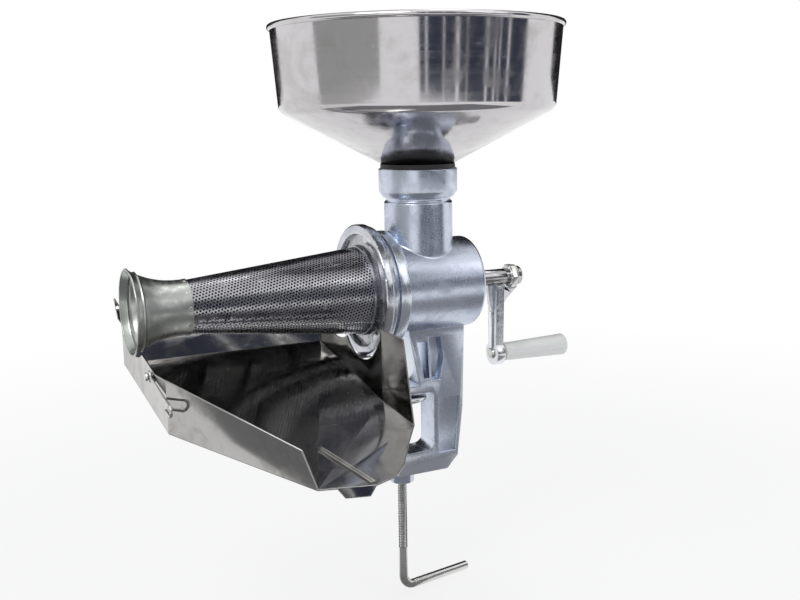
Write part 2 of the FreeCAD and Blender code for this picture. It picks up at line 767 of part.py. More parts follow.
def auger_shape():
    """Return the feed screw: tapered core, helical blade and the square socket."""
    rear_x = auger_rear_x.value
    front_x = auger_front_x.value
    core = Part.makeCone(auger_core_rear_r.value, auger_core_front_r.value, rear_x - front_x,
                         Vector(rear_x, 0, 0), Vector(-1, 0, 0))
    wide_x = cone_wide_x.value - strainer_hub.value
    slope = (cone_wide_r.value - cone_narrow_r.value) / (wide_x - cone_narrow_x.value)
    wide_r = cone_wide_r.value - cone_sheet.value - auger_gap.value
    front_r = wide_r - slope * (wide_x - front_x)
    barrel_r_inside = barrel_bore_r.value - auger_gap.value
    inner = auger_core_front_r.value - 2.0
    half_blade = auger_blade.value / 2.0
    deep = blade_sweep(inner, wide_r + 2.4, rear_x - front_x, half_blade)
    taper = Part.makeCone(wide_r, front_r, wide_x - front_x, Vector(wide_x, 0, 0), Vector(-1, 0, 0))
    straight = blade_sweep(inner + 0.1, barrel_r_inside, rear_x - wide_x + 4.0, half_blade + 0.05)
    solid = core.fuse(deep.common(taper)).fuse(straight)
    half = shaft_square.value / 2.0 + run_gap.value
    socket = Part.makeBox(rear_x - shaft_nose_x.value + 1.0 + half, half * 2.0, half * 2.0,
                          Vector(shaft_nose_x.value - 1.0, -half, -half))
    return solid.cut(socket)


keep_shape("auger", auger_shape())

# Crank: hub, flared web, ribbed arm and end boss
arm = new_body("crank_arm")
turn(arm, [
    (hub_front_x, shaft_r + 0.02),
    (hub_front_x, hub_r),
    (hub_rear_x, hub_r),
    (hub_rear_x, shaft_r + 0.02),
])
arm_rear_x = arm_x + arm_thick
pull(arm, "YZ_Plane", [
    (-arm_top_half, -shaft_r - 0.6),
    (arm_top_half, -shaft_r - 0.6),
    (arm_low_half, -crank_throw),
    (-arm_low_half, -crank_throw),
], arm_thick, shift=arm_x)
web_top_z = (nut_across * 0.5 + web_gap) * -1.0
web_rear_x = hub_rear_x + washer_thick + nut_thick + nut_tip - 2.6
pull(arm, "XZ_Plane", [
    (arm_x - 5.2, -shaft_r - 0.4),
    (arm_x - 3.4, -24.0),
    (arm_x, -33.0),
    (arm_x + 1.0, -44.0),
    (arm_rear_x - 1.0, -44.0),
    (arm_rear_x + 0.6, -31.0),
    (arm_rear_x + 2.2, -25.0),
    (arm_rear_x + 5.2, -20.0),
    (arm_rear_x + 10.6, -15.0),
    (web_rear_x, web_top_z),
    (hub_rear_x - 0.4, web_top_z),
    (hub_rear_x - 0.4, -shaft_r - 0.4),
], 5.0, middle=True)
pull(arm, "YZ_Plane", None, arm_thick, shift=arm_x, round_hole=(0.0, -crank_throw, arm_boss_r))
pull(arm, "YZ_Plane", [
    (-arm_rib, -30.0),
    (arm_rib, -30.0),
    (arm_rib, -crank_throw + 5.0),
    (-arm_rib, -crank_throw + 5.0),
], arm_thick + 1.8, shift=arm_x - 1.8)
pull(arm, "YZ_Plane", None, 40.0, shift=arm_x - 10.0, cut=True, back=True,
     round_hole=(0.0, -crank_throw, grip_pin_r + 0.02))

# Grip pin: riveted head, long pin and end head
pin = new_body("grip_pin")
turn(pin, [
    (arm_x - 2.2, 0.0),
    (arm_x - 2.2, grip_pin_r + 0.6),
    (arm_x, grip_pin_r + 2.0),
    (arm_x, grip_pin_r),
    (grip_end_x - 4.0, grip_pin_r),
    (grip_end_x - 4.0, grip_pin_r + 1.8),
    (grip_end_x - 2.2, grip_pin_r + 1.8),
    (grip_end_x - 2.2, 0.0),
])

# Grip: slightly tapered sleeve that turns on its pin
grip = new_body("crank_grip")
turn(grip, [
    (grip_front_x, grip_pin_r + run_gap),
    (grip_front_x, grip_front_r - 1.0, 1.0, 1),
    (grip_front_x + 1.0, grip_front_r),
    (grip_end_x - 2.0, grip_end_r, 2.0, 1),
    (grip_end_x, grip_end_r - 2.0),
    (grip_end_x, grip_pin_r + 2.4),
    (grip_end_x - 4.0, grip_pin_r + 2.4),
    (grip_end_x - 4.0, grip_pin_r + run_gap),
])
for item in (pin, grip):
    item.setExpression("Placement.Base.z", (seat_height - crank_throw).text)

# Washer and hexagon nut that hold the crank
washer = new_body("crank_washer")
turn(washer, [
    (hub_rear_x, shaft_thread_r + 0.3),
    (hub_rear_x, washer_r),
    (hub_rear_x + washer_thick, washer_r),
    (hub_rear_x + washer_thick, shaft_thread_r + 0.3),
])
nut = new_body("crank_nut")
nut_corner = nut_across.value / math.sqrt(3.0)
hexagon = []
for number in range(6):
    bearing = math.radians(60.0 * number)
    hexagon.append((nut_across * (math.cos(bearing) / math.sqrt(3.0)),
                    nut_across * (math.sin(bearing) / math.sqrt(3.0))))
nut_front_x = hub_rear_x + washer_thick
nut_rear_x = nut_front_x + nut_thick
pull(nut, "YZ_Plane", hexagon, nut_thick, shift=nut_front_x)
turn(nut, [
    (nut_rear_x - 1.6, nut_corner + 0.4),
    (nut_rear_x + 1.0, nut_corner + 0.4),
    (nut_rear_x + 1.0, nut_across * 0.5 - 1.4),
], cut=True)
turn(nut, [
    (nut_rear_x - 1.0, shaft_thread_r - 0.5),
    (nut_rear_x - 1.0, nut_tip_r),
    (nut_rear_x + nut_tip - 1.4, nut_tip_r),
    (nut_rear_x + nut_tip, nut_tip_r - 1.4),
    (nut_rear_x + nut_tip, shaft_thread_r - 0.5),
])
pull(nut, "YZ_Plane", None, 40.0, shift=hub_rear_x - 5.0, cut=True, back=True,
     round_hole=(0.0, 0.0, shaft_thread_r + 0.02))


def screw_shape():
    """Return the clamp screw: threaded rod, bend, handle and the ball at its top."""
    top = pad_low.value - pad_boss.value + pad_socket.value
    low = screw_low_z.value + screw_r.value
    bend = screw_bend_r.value
    foot = Vector(-seat_forward.value, 0, low)
    bearing = math.radians(screw_turn.value)
    out = Vector(math.cos(bearing), math.sin(bearing), 0)
    above = Vector(0, 0, 1)
    rod_top = foot.add(Vector(above).multiply(top - low))
    bend_start = foot.add(Vector(above).multiply(bend))
    bend_end = foot.add(Vector(out).multiply(bend))
    share = bend * (1 - math.sqrt(0.5))
    bend_middle = foot.add(Vector(above).multiply(share)).add(Vector(out).multiply(share))
    path = Part.Wire([
        Part.makeLine(rod_top, bend_start),
        Part.Arc(bend_start, bend_middle, bend_end).toShape(),
        Part.makeLine(bend_end, foot.add(Vector(out).multiply(screw_handle.value))),
    ])
    ring_wire = Part.Wire(Part.makeCircle(screw_r.value, rod_top, Vector(0, 0, -1)))
    sweep = Part.BRepOffsetAPI.MakePipeShell(path)
    sweep.add(ring_wire)
    sweep.build()
    sweep.makeSolid()
    return sweep.shape()


keep_shape("clamp_screw", screw_shape())

# Swivel pad under the jaw and the ball end that carries it
pad = new_body("clamp_pad")
turn(pad, [
    (0.0, pad_low - pad_boss),
    (pad_boss_r - 1.0, pad_low - pad_boss),
    (pad_boss_r, pad_low - pad_boss + 1.0),
    (pad_boss_r + 1.0, pad_low),
    (pad_r - 1.0, pad_low),
    (pad_r, pad_low + 1.0),
    (pad_r, pad_top),
    (0.0, pad_top),
], axis="V_Axis")
turn(pad, [
    (0.0, pad_low - pad_boss - 5.0),
    (screw_r + run_gap, pad_low - pad_boss - 5.0),
    (screw_r + run_gap, pad_low - pad_boss + pad_socket),
    (0.0, pad_low - pad_boss + pad_socket),
], axis="V_Axis", cut=True)
pad.setExpression("Placement.Base.x", "0")


# Catch tray: flat panels of one sheet thickness, joined by round folds
def panel(corners, thick):
    """Return a flat panel centred on the polygon through the corners."""
    face = Part.Face(Part.makePolygon(corners + [corners[0]]))
    normal = face.normalAt(0, 0)
    face.translate(Vector(normal).multiply(-thick / 2.0))
    return face.extrude(Vector(normal).multiply(thick))


def fold(start, end, thick):
    """Return a round rod along one fold or edge, with ball ends, a hair over the sheet."""
    run = end.sub(start)
    radius = thick / 2.0 * 1.03
    rod = Part.makeCylinder(radius, run.Length, start, run)
    return rod.fuse([Part.makeSphere(radius, start), Part.makeSphere(radius, end)])


def on_floor(x, y):
    """Return a point of the tray's sloping floor."""
    return Vector(x.value, y.value, tray_back_z.value - tray_fall * (tray_back_y.value - y.value))


def height(amount):
    """Return the level that stands an amount over the back of the tray's floor."""
    return tray_back_z.value + amount.value


def between(start, end, y):
    """Return the point of a floor edge at a distance across."""
    share = (y - start.y) / (end.y - start.y)
    return start.add(end.sub(start).multiply(share))


def over(start, end, y, level):
    """Return a point on the upright wall over a floor edge."""
    spot = between(start, end, y)
    return Vector(spot.x, y, level)


back_y = tray_back_y.value
bend_y = tray_bend_y.value
top_z = height(tray_wall)
back_left = on_floor(tray_left_x, tray_back_y)
back_right = on_floor(tray_right_x, tray_back_y)
bend_left = on_floor(tray_bend_left_x, tray_bend_y)
bend_right = on_floor(tray_bend_right_x, tray_bend_y)
corner = on_floor(tray_corner_x, tray_corner_y)
spout_left = on_floor(spout_left_x, spout_left_y)
spout_right = on_floor(spout_right_x, spout_right_y)
hem_start = on_floor(hem_start_x, hem_start_y)
wing = [on_floor(wing_low_x, wing_low_y), on_floor(wing_middle_x, wing_middle_y),
        on_floor(wing_end_x, wing_end_y)]


def join_panels(solid, panels, thick):
    """Fuse flat panels to a solid and run a round fold along each of their edges."""
    seams = {}
    for corners in panels:
        piece = panel(corners, thick)
        solid = piece if solid is None else solid.fuse(piece)
        for index, start in enumerate(corners):
            end = corners[(index + 1) % len(corners)]
            key = tuple(sorted((tuple(round(v, 3) for v in start), tuple(round(v, 3) for v in end))))
            seams[key] = (start, end)
    for start, end in seams.values():
        solid = solid.fuse(fold(start, end, thick))
    return solid


def tray_shape():
    """Return the folded catch tray as one solid."""
    thick = tray_sheet.value
    floor = [back_left, back_right, bend_right, corner] + wing + [spout_right, spout_left, bend_left]
    left_bend_top = over(back_left, bend_left, bend_y, height(left_bend_height))
    right_bend_top = over(back_right, bend_right, bend_y, height(right_bend_height))
    lip_start = spout_left.add(spout_right.sub(spout_left).multiply(0.34))
    lip_run = spout_right.sub(spout_left).normalize().multiply(spout_drop.value * 0.75)
    lip_drop = Vector(0, -spout_drop.value * 0.25, -spout_drop.value)
    left_top = Vector(back_left.x, back_y, top_z)
    right_top = Vector(back_right.x, back_y, top_z)
    out = ear_out.value
    up = ear_up.value
    walls = [
        floor,
        [back_left, back_right, right_top, left_top],
        [back_left, bend_left, left_bend_top,
         over(back_left, bend_left, left_slope_y.value, height(left_slope_height)),
         over(back_left, bend_left, left_step_y.value, height(left_step_height)),
         over(back_left, bend_left, left_step_y.value, top_z), left_top],
        [bend_left, spout_left,
         over(bend_left, spout_left, left_end_y.value, height(left_end_height)), left_bend_top],
        [back_right, bend_right, right_bend_top, right_top],
        [bend_right, corner,
         over(bend_right, corner, right_end_y.value, height(right_end_height)), right_bend_top],
        [lip_start, spout_right, spout_right.sub(lip_run).add(lip_drop),
         lip_start.add(lip_run).add(lip_drop)],
        [left_top.sub(Vector(0, 0, out * 0.2)), left_top.add(Vector(-out, 0, up)),
         left_top.sub(Vector(out * 0.6, 0, out * 1.4)), left_top.sub(Vector(0, 0, out * 2.4))],
    ]
    solid = join_panels(None, walls, thick)
    notch_start = tray_right_x.value - 10.0
    wide_x = cone_wide_x.value - strainer_hub.value
    slope = (cone_wide_r.value - cone_narrow_r.value) / (wide_x - cone_narrow_x.value)
    cone_r_here = cone_wide_r.value - slope * (wide_x - tray_right_x.value)
    for y, z, radius in ((0.0, 0.0, cone_r_here + tray_notch_gap.value),
                         (tray_dip_y.value, tray_dip_z.value, tray_dip_r.value)):
        solid = solid.cut(Part.makeCylinder(radius, 20.0, Vector(notch_start, y, z), Vector(1, 0, 0)))
    mouth_reach = trumpet_end_x.value - 8.0
    mouth_r = trumpet_mouth_r.value + cone_sheet.value + tray_mouth_gap.value
    room = Part.makeCylinder(mouth_r, 20.0, Vector(mouth_reach, 0, 0), Vector(1, 0, 0))
    solid = solid.cut(room)
    strap_z = -ring_r.value - strap_under.value
    strap_x = tray_bend_right_x.value - thick * 1.1
    strap_end = ring_step_x.value - 1.0
    wide = strap_half.value
    strap = [
        [Vector(strap_x, wide, strap_z), Vector(strap_x, -wide, strap_z),
         Vector(strap_end, -wide, strap_z), Vector(strap_end, wide, strap_z)],
    ]
    solid = join_panels(solid, strap, thick)
    ear_hole = Part.makeCylinder(ear_hole_r.value, 10.0,
                                 left_top.add(Vector(-out * 0.6, -5.0, up * 0.18)), Vector(0, 1, 0))
    return solid.cut(ear_hole).removeSplitter()


keep_shape("tray_pan", tray_shape())


def hem_shape():
    """Return the folded double edge that lies on the floor beside the spout."""
    normal = Vector(0, -tray_fall, 1).normalize()
    lift = Vector(normal).multiply(tray_sheet.value / 2.0)
    start = hem_start.add(lift)
    end = spout_right.add(hem_start.sub(spout_right).normalize().multiply(hem_half.value * 1.4)).add(lift)
    run = end.sub(start).normalize()
    side = run.cross(normal).multiply(hem_half.value)
    corners = [start.sub(side), end.sub(side), end.add(side), start.add(side)]
    strip = Part.Face(Part.makePolygon(corners + [corners[0]])).extrude(Vector(normal).multiply(hem_thick.value))
    rods = []
    for sign in (-1.0, 1.0):
        shift = Vector(side).multiply(sign * 0.68).add(Vector(normal).multiply(hem_thick.value))
        rods.append(Part.makeCylinder(hem_thick.value * 0.75, end.sub(start).Length,
                                      start.add(shift), run))
    return strip.fuse(rods)


keep_shape("tray_hem", hem_shape())

# Wire latch on the left wall: knob, wire and hooked end
latch_out = Vector(-(back_left.y - bend_left.y), back_left.x - bend_left.x, 0).normalize()
if latch_out.x > 0:
    latch_out = latch_out.multiply(-1.0)


def on_wall(y, level, out):
    """Return a point standing off the left wall."""
    return over(back_left, bend_left, y, level).add(Vector(latch_out).multiply(out))


def knob_shape():
    """Return the riveted knob the latch turns on."""
    face = tray_sheet.value / 2.0
    foot = on_wall(latch_knob_y.value, height(latch_knob_height), face)
    stem_length = latch_wire_r.value * 3.1
    stem = Part.makeCylinder(latch_knob_r.value - 1.2, stem_length, foot, latch_out)
    head = Part.makeCone(latch_knob_r.value, latch_knob_r.value - 0.8, latch_wire_r.value * 1.45,
                         foot.add(Vector(latch_out).multiply(stem_length)), latch_out)
    return stem.fuse(head)


def latch_shape():
    """Return the bent wire: eye round the knob, straight run and hooked end."""
    wire = latch_wire_r.value
    out = tray_sheet.value / 2.0 + 0.4 + wire
    eye_r = latch_knob_r.value - 1.2 + run_gap.value + wire
    centre = on_wall(latch_knob_y.value, height(latch_knob_height), out)
    eye = Part.makeTorus(eye_r, wire, centre, latch_out)
    run = on_wall(latch_aim_y.value, height(latch_aim_height), out).sub(centre).normalize()
    start = centre.add(Vector(run).multiply(eye_r))
    length = latch_length.value
    rod = Part.makeCylinder(wire, length, start, run)
    end = start.add(Vector(run).multiply(length))
    across = run.cross(latch_out).normalize()
    if across.z > 0:
        across = across.multiply(-1.0)
    hook_r = latch_hook_r.value
    middle = end.add(Vector(across).multiply(hook_r))
    bend = Part.makeTorus(hook_r, wire, middle, latch_out)
    keep = Part.makeCylinder(hook_r + 3.0, 6.0, middle.sub(Vector(latch_out).multiply(3.0)), latch_out)
    reach = hook_r * 5.0
    slab = Part.makeBox(reach, reach, reach, Vector(0, -reach / 2.0, -reach / 2.0))
    slab.Placement = FreeCAD.Placement(middle, FreeCAD.Rotation(run, across, latch_out, "XYZ"))
    bend = bend.common(keep).common(slab)
    tail = Part.makeCylinder(wire, latch_tail.value, middle.add(Vector(across).multiply(hook_r)), run.multiply(-1.0))
    return eye.fuse([rod, bend, tail])


keep_shape("tray_latch_knob", knob_shape())
keep_shape("tray_latch", latch_shape())

doc.recompute()

# Check every object and write the pieces
problems = []
for item in doc.Objects:
    if "Invalid" in item.State or "Error" in item.State:
        problems.append(item.Name + " " + str(item.State))
for item in pieces:
    shape = item.Shape
    if shape.isNull() or not shape.isValid() or shape.Volume <= 0:
        problems.append(item.Label + " shape")
    print(item.Label, len(shape.Solids), round(shape.Volume), shape.BoundBox)
if problems:
    raise RuntimeError("; ".join(problems))
os.makedirs("parts", exist_ok=True)
for item in pieces:
    item.Shape.exportStep("parts/" + item.Label + ".step")
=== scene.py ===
"""Looks of a hand-cranked tomato strainer: fine pieces, finishes, studio and camera."""

import logging
import math
from contextlib import contextmanager
from dataclasses import dataclass
from enum import Enum
from typing import Callable, Iterator, Optional, Sequence, Union

import bmesh
import bpy
from mathutils import Matrix, Vector
from mathutils.bvhtree import BVHTree


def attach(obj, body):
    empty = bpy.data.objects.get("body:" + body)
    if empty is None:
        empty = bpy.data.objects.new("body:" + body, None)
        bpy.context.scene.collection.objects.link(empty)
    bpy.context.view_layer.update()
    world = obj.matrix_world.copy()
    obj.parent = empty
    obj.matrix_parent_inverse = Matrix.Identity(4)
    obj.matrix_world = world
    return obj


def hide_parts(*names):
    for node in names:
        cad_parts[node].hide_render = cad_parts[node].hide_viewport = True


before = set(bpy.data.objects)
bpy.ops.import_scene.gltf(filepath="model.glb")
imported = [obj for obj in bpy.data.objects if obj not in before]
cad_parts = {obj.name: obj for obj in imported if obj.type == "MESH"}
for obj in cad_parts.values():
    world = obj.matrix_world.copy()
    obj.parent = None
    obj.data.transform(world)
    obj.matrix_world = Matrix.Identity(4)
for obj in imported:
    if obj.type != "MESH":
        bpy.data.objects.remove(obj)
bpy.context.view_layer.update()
log = logging.getLogger("tomato_strainer")

MM = 0.001
AXES_MEET = Vector((0.019, 0.0, 0.0915))
Colour = tuple[float, float, float]
Outline = Sequence[tuple[float, ...]]
Feed = Union[float, Colour, bpy.types.NodeSocket]


class Axis(Enum):
    """The line that a turned piece is spun about, through the point where both axes meet."""

    DRIVE = "drive"
    NECK = "neck"
    SCREW = "screw"

    @property
    def along(self) -> Vector:
        """Direction of the line."""
        return Vector((1, 0, 0)) if self is Axis.DRIVE else Vector((0, 0, 1))

    @property
    def origin(self) -> Vector:
        """Point of the line from which lengths are counted."""
        return Vector((0.0, 0.0, AXES_MEET.z)) if self is Axis.SCREW else AXES_MEET

    def place(self, along: float, radius: float) -> Vector:
        """Turn a pair of lengths in millimetres into a point of the object's frame.

        Args:
            along: Length along the line from its origin.
            radius: Distance from the line.

        Returns:
            The point, in metres.
        """
        if self is Axis.DRIVE:
            return self.origin + Vector((along, 0, radius)) * MM
        return self.origin + Vector((radius, 0, along)) * MM


def point(x: float, y: float, z: float) -> Vector:
    """Point given in millimetres from where the drive axis and the neck axis meet."""
    return AXES_MEET + Vector((x, y, z)) * MM


# Handling of objects


def select_only(piece: bpy.types.Object) -> None:
    """Make a piece the only selected object and the active one."""
    if bpy.context.object is not None and bpy.context.object.mode != "OBJECT":
        bpy.ops.object.mode_set(mode="OBJECT")
    bpy.ops.object.select_all(action="DESELECT")
    piece.select_set(True)
    bpy.context.view_layer.objects.active = piece


@contextmanager
def editing(piece: bpy.types.Object, everything: bool = True) -> Iterator[bmesh.types.BMesh]:
    """Open a piece in edit mode.

    Args:
        piece: The mesh object to edit.
        everything: Whether all of it starts selected.

    Returns:
        The mesh that is being edited.
    """
    select_only(piece)
    bpy.ops.object.mode_set(mode="EDIT")
    bpy.ops.mesh.select_mode(type="VERT")
    bpy.ops.mesh.select_all(action="SELECT" if everything else "DESELECT")
    try:
        yield bmesh.from_edit_mesh(piece.data)
    finally:
        bpy.ops.object.mode_set(mode="OBJECT")


def pick_faces(cage: bmesh.types.BMesh, test: Callable[[bmesh.types.BMFace], bool]) -> None:
    """Select the faces that pass a test, and nothing else."""
    bpy.ops.mesh.select_all(action="DESELECT")
    bpy.ops.mesh.select_mode(type="FACE")
    for face in cage.faces:
        face.select_set(test(face))


def apply_modifiers(piece: bpy.types.Object) -> None:
    """Apply every modifier of a piece in order."""
    select_only(piece)
    for name in [modifier.name for modifier in piece.modifiers]:
        bpy.ops.object.modifier_apply(modifier=name)


def shade(piece: bpy.types.Object, angle: float = 30.0) -> None:
    """Shade a piece smooth, with sharp edges above an angle in degrees."""
    select_only(piece)
    bpy.ops.object.shade_smooth_by_angle(angle=math.radians(angle))


def close_up(piece: bpy.types.Object, gap: float = 0.001) -> None:
    """Merge doubled points that lie within a gap in millimetres and point the faces outwards."""
    with editing(piece):
        bpy.ops.mesh.remove_doubles(threshold=gap * MM)
        bpy.ops.mesh.normals_make_consistent(inside=False)


def own_copy(piece: bpy.types.Object, name: str) -> bpy.types.Object:
    """Copy a piece together with its mesh."""
    copy = bpy.data.objects.new(name, piece.data.copy())
    bpy.context.scene.collection.objects.link(copy)
    return copy


def joined(pieces: Sequence[bpy.types.Object], name: str) -> bpy.types.Object:
    """Join pieces into the first of them, under a new name."""
    select_only(pieces[0])
    for piece in pieces:
        piece.select_set(True)
    bpy.ops.object.join()
    pieces[0].name = name
    return pieces[0]


def rounded(outline: Outline, parts: int = 6) -> list[tuple[float, float]]:
    """Round the corners of an outline that carry a third number, the bend's radius.

    Args:
        outline: Corners as pairs, or as triples where the corner is bent.
        parts: Straight parts that each bend is made of.

    Returns:
        The outline's points.
    """
    made: list[tuple[float, float]] = []
    count = len(outline)
    for index, corner in enumerate(outline):
        here = Vector(corner[:2])
        if len(corner) < 3:
            made.append(tuple(here))
            continue
        back = (Vector(outline[index - 1][:2]) - here).normalized()
        ahead = (Vector(outline[(index + 1) % count][:2]) - here).normalized()
        half = back.angle(ahead) / 2
        reach = corner[2] / math.tan(half)
        centre = here + (back + ahead).normalized() * (corner[2] / math.sin(half))
        start = here + back * reach - centre
        turn = start.angle_signed(here + ahead * reach - centre)
        for step in range(parts + 1):
            angle = -turn * step / parts
            spun = Vector((start.x * math.cos(angle) - start.y * math.sin(angle),
                           start.x * math.sin(angle) + start.y * math.cos(angle)))
            made.append(tuple(centre + spun))
    return made


def arc(centre: tuple[float, float], radius: float, start: float, end: float,
        parts: int) -> list[tuple[float, float]]:
    """Points of an arc in the plane of an outline, with its angles in degrees."""
    made = []
    for step in range(parts + 1):
        angle = math.radians(start + (end - start) * step / parts)
        made.append((centre[0] + radius * math.cos(angle), centre[1] + radius * math.sin(angle)))
    return made


def traced(name: str, spots: Sequence[Vector]) -> bpy.types.Object:
    """Draw a chain of edges by pulling one vertex from spot to spot.

    Args:
        name: Name of the new piece.
        spots: Points to pass, in metres.

    Returns:
        The piece that holds the chain.
    """
    bpy.ops.object.select_all(action="DESELECT")
    bpy.ops.mesh.primitive_plane_add(size=MM)
    piece = bpy.context.object
    piece.name = name
    with editing(piece):
        bpy.ops.mesh.merge(type="CENTER")
        bpy.ops.transform.translate(value=spots[0])
        for here, there in zip(spots, spots[1:]):
            bpy.ops.mesh.extrude_region_move(TRANSFORM_OT_translate={"value": there - here})
    return piece


def turned(name: str, outline: Outline, axis: Axis, steps: int = 64,
           angle: float = 30.0) -> bpy.types.Object:
    """Spin a closed outline into a solid of revolution.

    Args:
        name: Name of the new piece.
        outline: Pairs of length along the axis and radius, in millimetres.
        axis: The line to spin about.
        steps: Steps of the full turn.
        angle: Edges above this angle in degrees stay sharp.

    Returns:
        The finished piece.
    """
    spots = [axis.place(*pair) for pair in outline]
    piece = traced(name, spots + spots[:1])
    with editing(piece):
        bpy.ops.mesh.remove_doubles(threshold=0.0005 * MM)
        bpy.ops.mesh.spin(steps=steps, angle=math.tau, center=axis.origin, axis=axis.along)
    close_up(piece)
    shade(piece, angle)
    return piece


def softened(node: str, name: str, width: float = 0.4, sharp: float = 32.0,
             merge: float = 0.01, segments: int = 2) -> bpy.types.Object:
    """Copy a carried-over node and round its sharp edges.

    Args:
        node: The node to copy and stand for.
        name: Name of the new piece.
        width: Width of the rounding in millimetres.
        sharp: Edges above this angle in degrees are rounded.
        merge: Points closer than this in millimetres become one.
        segments: Strips that a rounded edge is made of.

    Returns:
        The finished piece.
    """
    piece = own_copy(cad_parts[node], name)
    tree = BVHTree.FromPolygons([v.co for v in piece.data.vertices],
                                [list(p.vertices) for p in piece.data.polygons])
    select_only(piece)
    if piece.data.has_custom_normals:
        bpy.ops.mesh.customdata_custom_splitnormals_clear()
    with editing(piece):
        bpy.ops.mesh.remove_doubles(threshold=merge * MM)
        bpy.ops.mesh.dissolve_degenerate(threshold=merge * MM)
        bpy.ops.mesh.select_all(action="SELECT")
        bpy.ops.mesh.dissolve_limited(angle_limit=math.radians(0.4))
    bevel = piece.modifiers.new("round", "BEVEL")
    bevel.width = width * MM
    bevel.segments = segments
    bevel.limit_method = "ANGLE"
    bevel.angle_limit = math.radians(sharp)
    bevel.use_clamp_overlap = False
    apply_modifiers(piece)
    for vertex in piece.data.vertices:
        nearest, _, _, distance = tree.find_nearest(vertex.co)
        if distance > width * 0.7 * MM:
            vertex.co = nearest
    with editing(piece):
        bpy.ops.mesh.dissolve_degenerate(threshold=0.002 * MM)
    shade(piece, 38.0)
    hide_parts(node)
    return piece


# Finishes


@dataclass
class Bench:
    """Adds nodes to one tree and joins them."""

    tree: bpy.types.NodeTree

    def feed(self, value: Feed, socket: bpy.types.NodeSocket) -> None:
        """Link a socket, or set it to a fixed value.

        Args:
            value: Another node's output, a number or a colour.
            socket: The input that takes it.
        """
        if isinstance(value, bpy.types.NodeSocket):
            self.tree.links.new(value, socket)
        elif isinstance(value, (int, float)):
            socket.default_value = value
        else:
            fixed = tuple(value)
            wide = len(socket.default_value) == 4 and len(fixed) == 3
            socket.default_value = fixed + (1.0,) if wide else fixed

    def add(self, kind: str, inputs: Optional[dict[Union[int, str], Feed]] = None,
            **settings: object) -> bpy.types.Node:
        """Add a node.

        Args:
            kind: The node's type.
            inputs: What goes into its sockets, by name or number.
            **settings: The node's own settings.

        Returns:
            The new node.
        """
        node = self.tree.nodes.new(kind)
        for name, value in settings.items():
            setattr(node, name, value)
        for name, value in (inputs or {}).items():
            self.feed(value, node.inputs[name])
        return node

    def math(self, operation: str, first: Feed, second: Feed = 0.0,
             clamp: bool = False) -> bpy.types.NodeSocket:
        """Work out a number from one or two others."""
        node = self.add("ShaderNodeMath", {0: first, 1: second}, operation=operation)
        node.use_clamp = clamp
        return node.outputs[0]

    def noise(self, vector: Feed, scale: Feed, detail: float = 3.0, rough: float = 0.55,
              distortion: float = 0.0) -> bpy.types.NodeSocket:
        """Cloudy pattern from 0 to 1."""
        node = self.add("ShaderNodeTexNoise", {
            "Vector": vector, "Scale": scale, "Detail": detail, "Roughness": rough,
            "Distortion": distortion})
        return node.outputs["Fac"]

    def between(self, value: Feed, low: float, high: float, to_low: Feed = 0.0,
                to_high: Feed = 1.0) -> bpy.types.NodeSocket:
        """Ease a value from one range to another."""
        node = self.add("ShaderNodeMapRange", {
            "Value": value, "From Min": low, "From Max": high, "To Min": to_low,
            "To Max": to_high}, interpolation_type="SMOOTHSTEP")
        return node.outputs["Result"]

    def mix(self, share: Feed, first: Feed, second: Feed) -> bpy.types.NodeSocket:
        """Blend two colours."""
        node = self.add("ShaderNodeMix", {0: share, 6: first, 7: second}, data_type="RGBA")
        return node.outputs[2]

    def stretched(self, vector: Feed, scale: Colour, turn: Colour = (0, 0, 0),
                  shift: Colour = (0, 0, 0)) -> bpy.types.NodeSocket:
        """Move, turn and scale the coordinates of a pattern."""
        return self.add("ShaderNodeMapping", {
            "Vector": vector, "Scale": scale, "Rotation": turn, "Location": shift}).outputs[0]


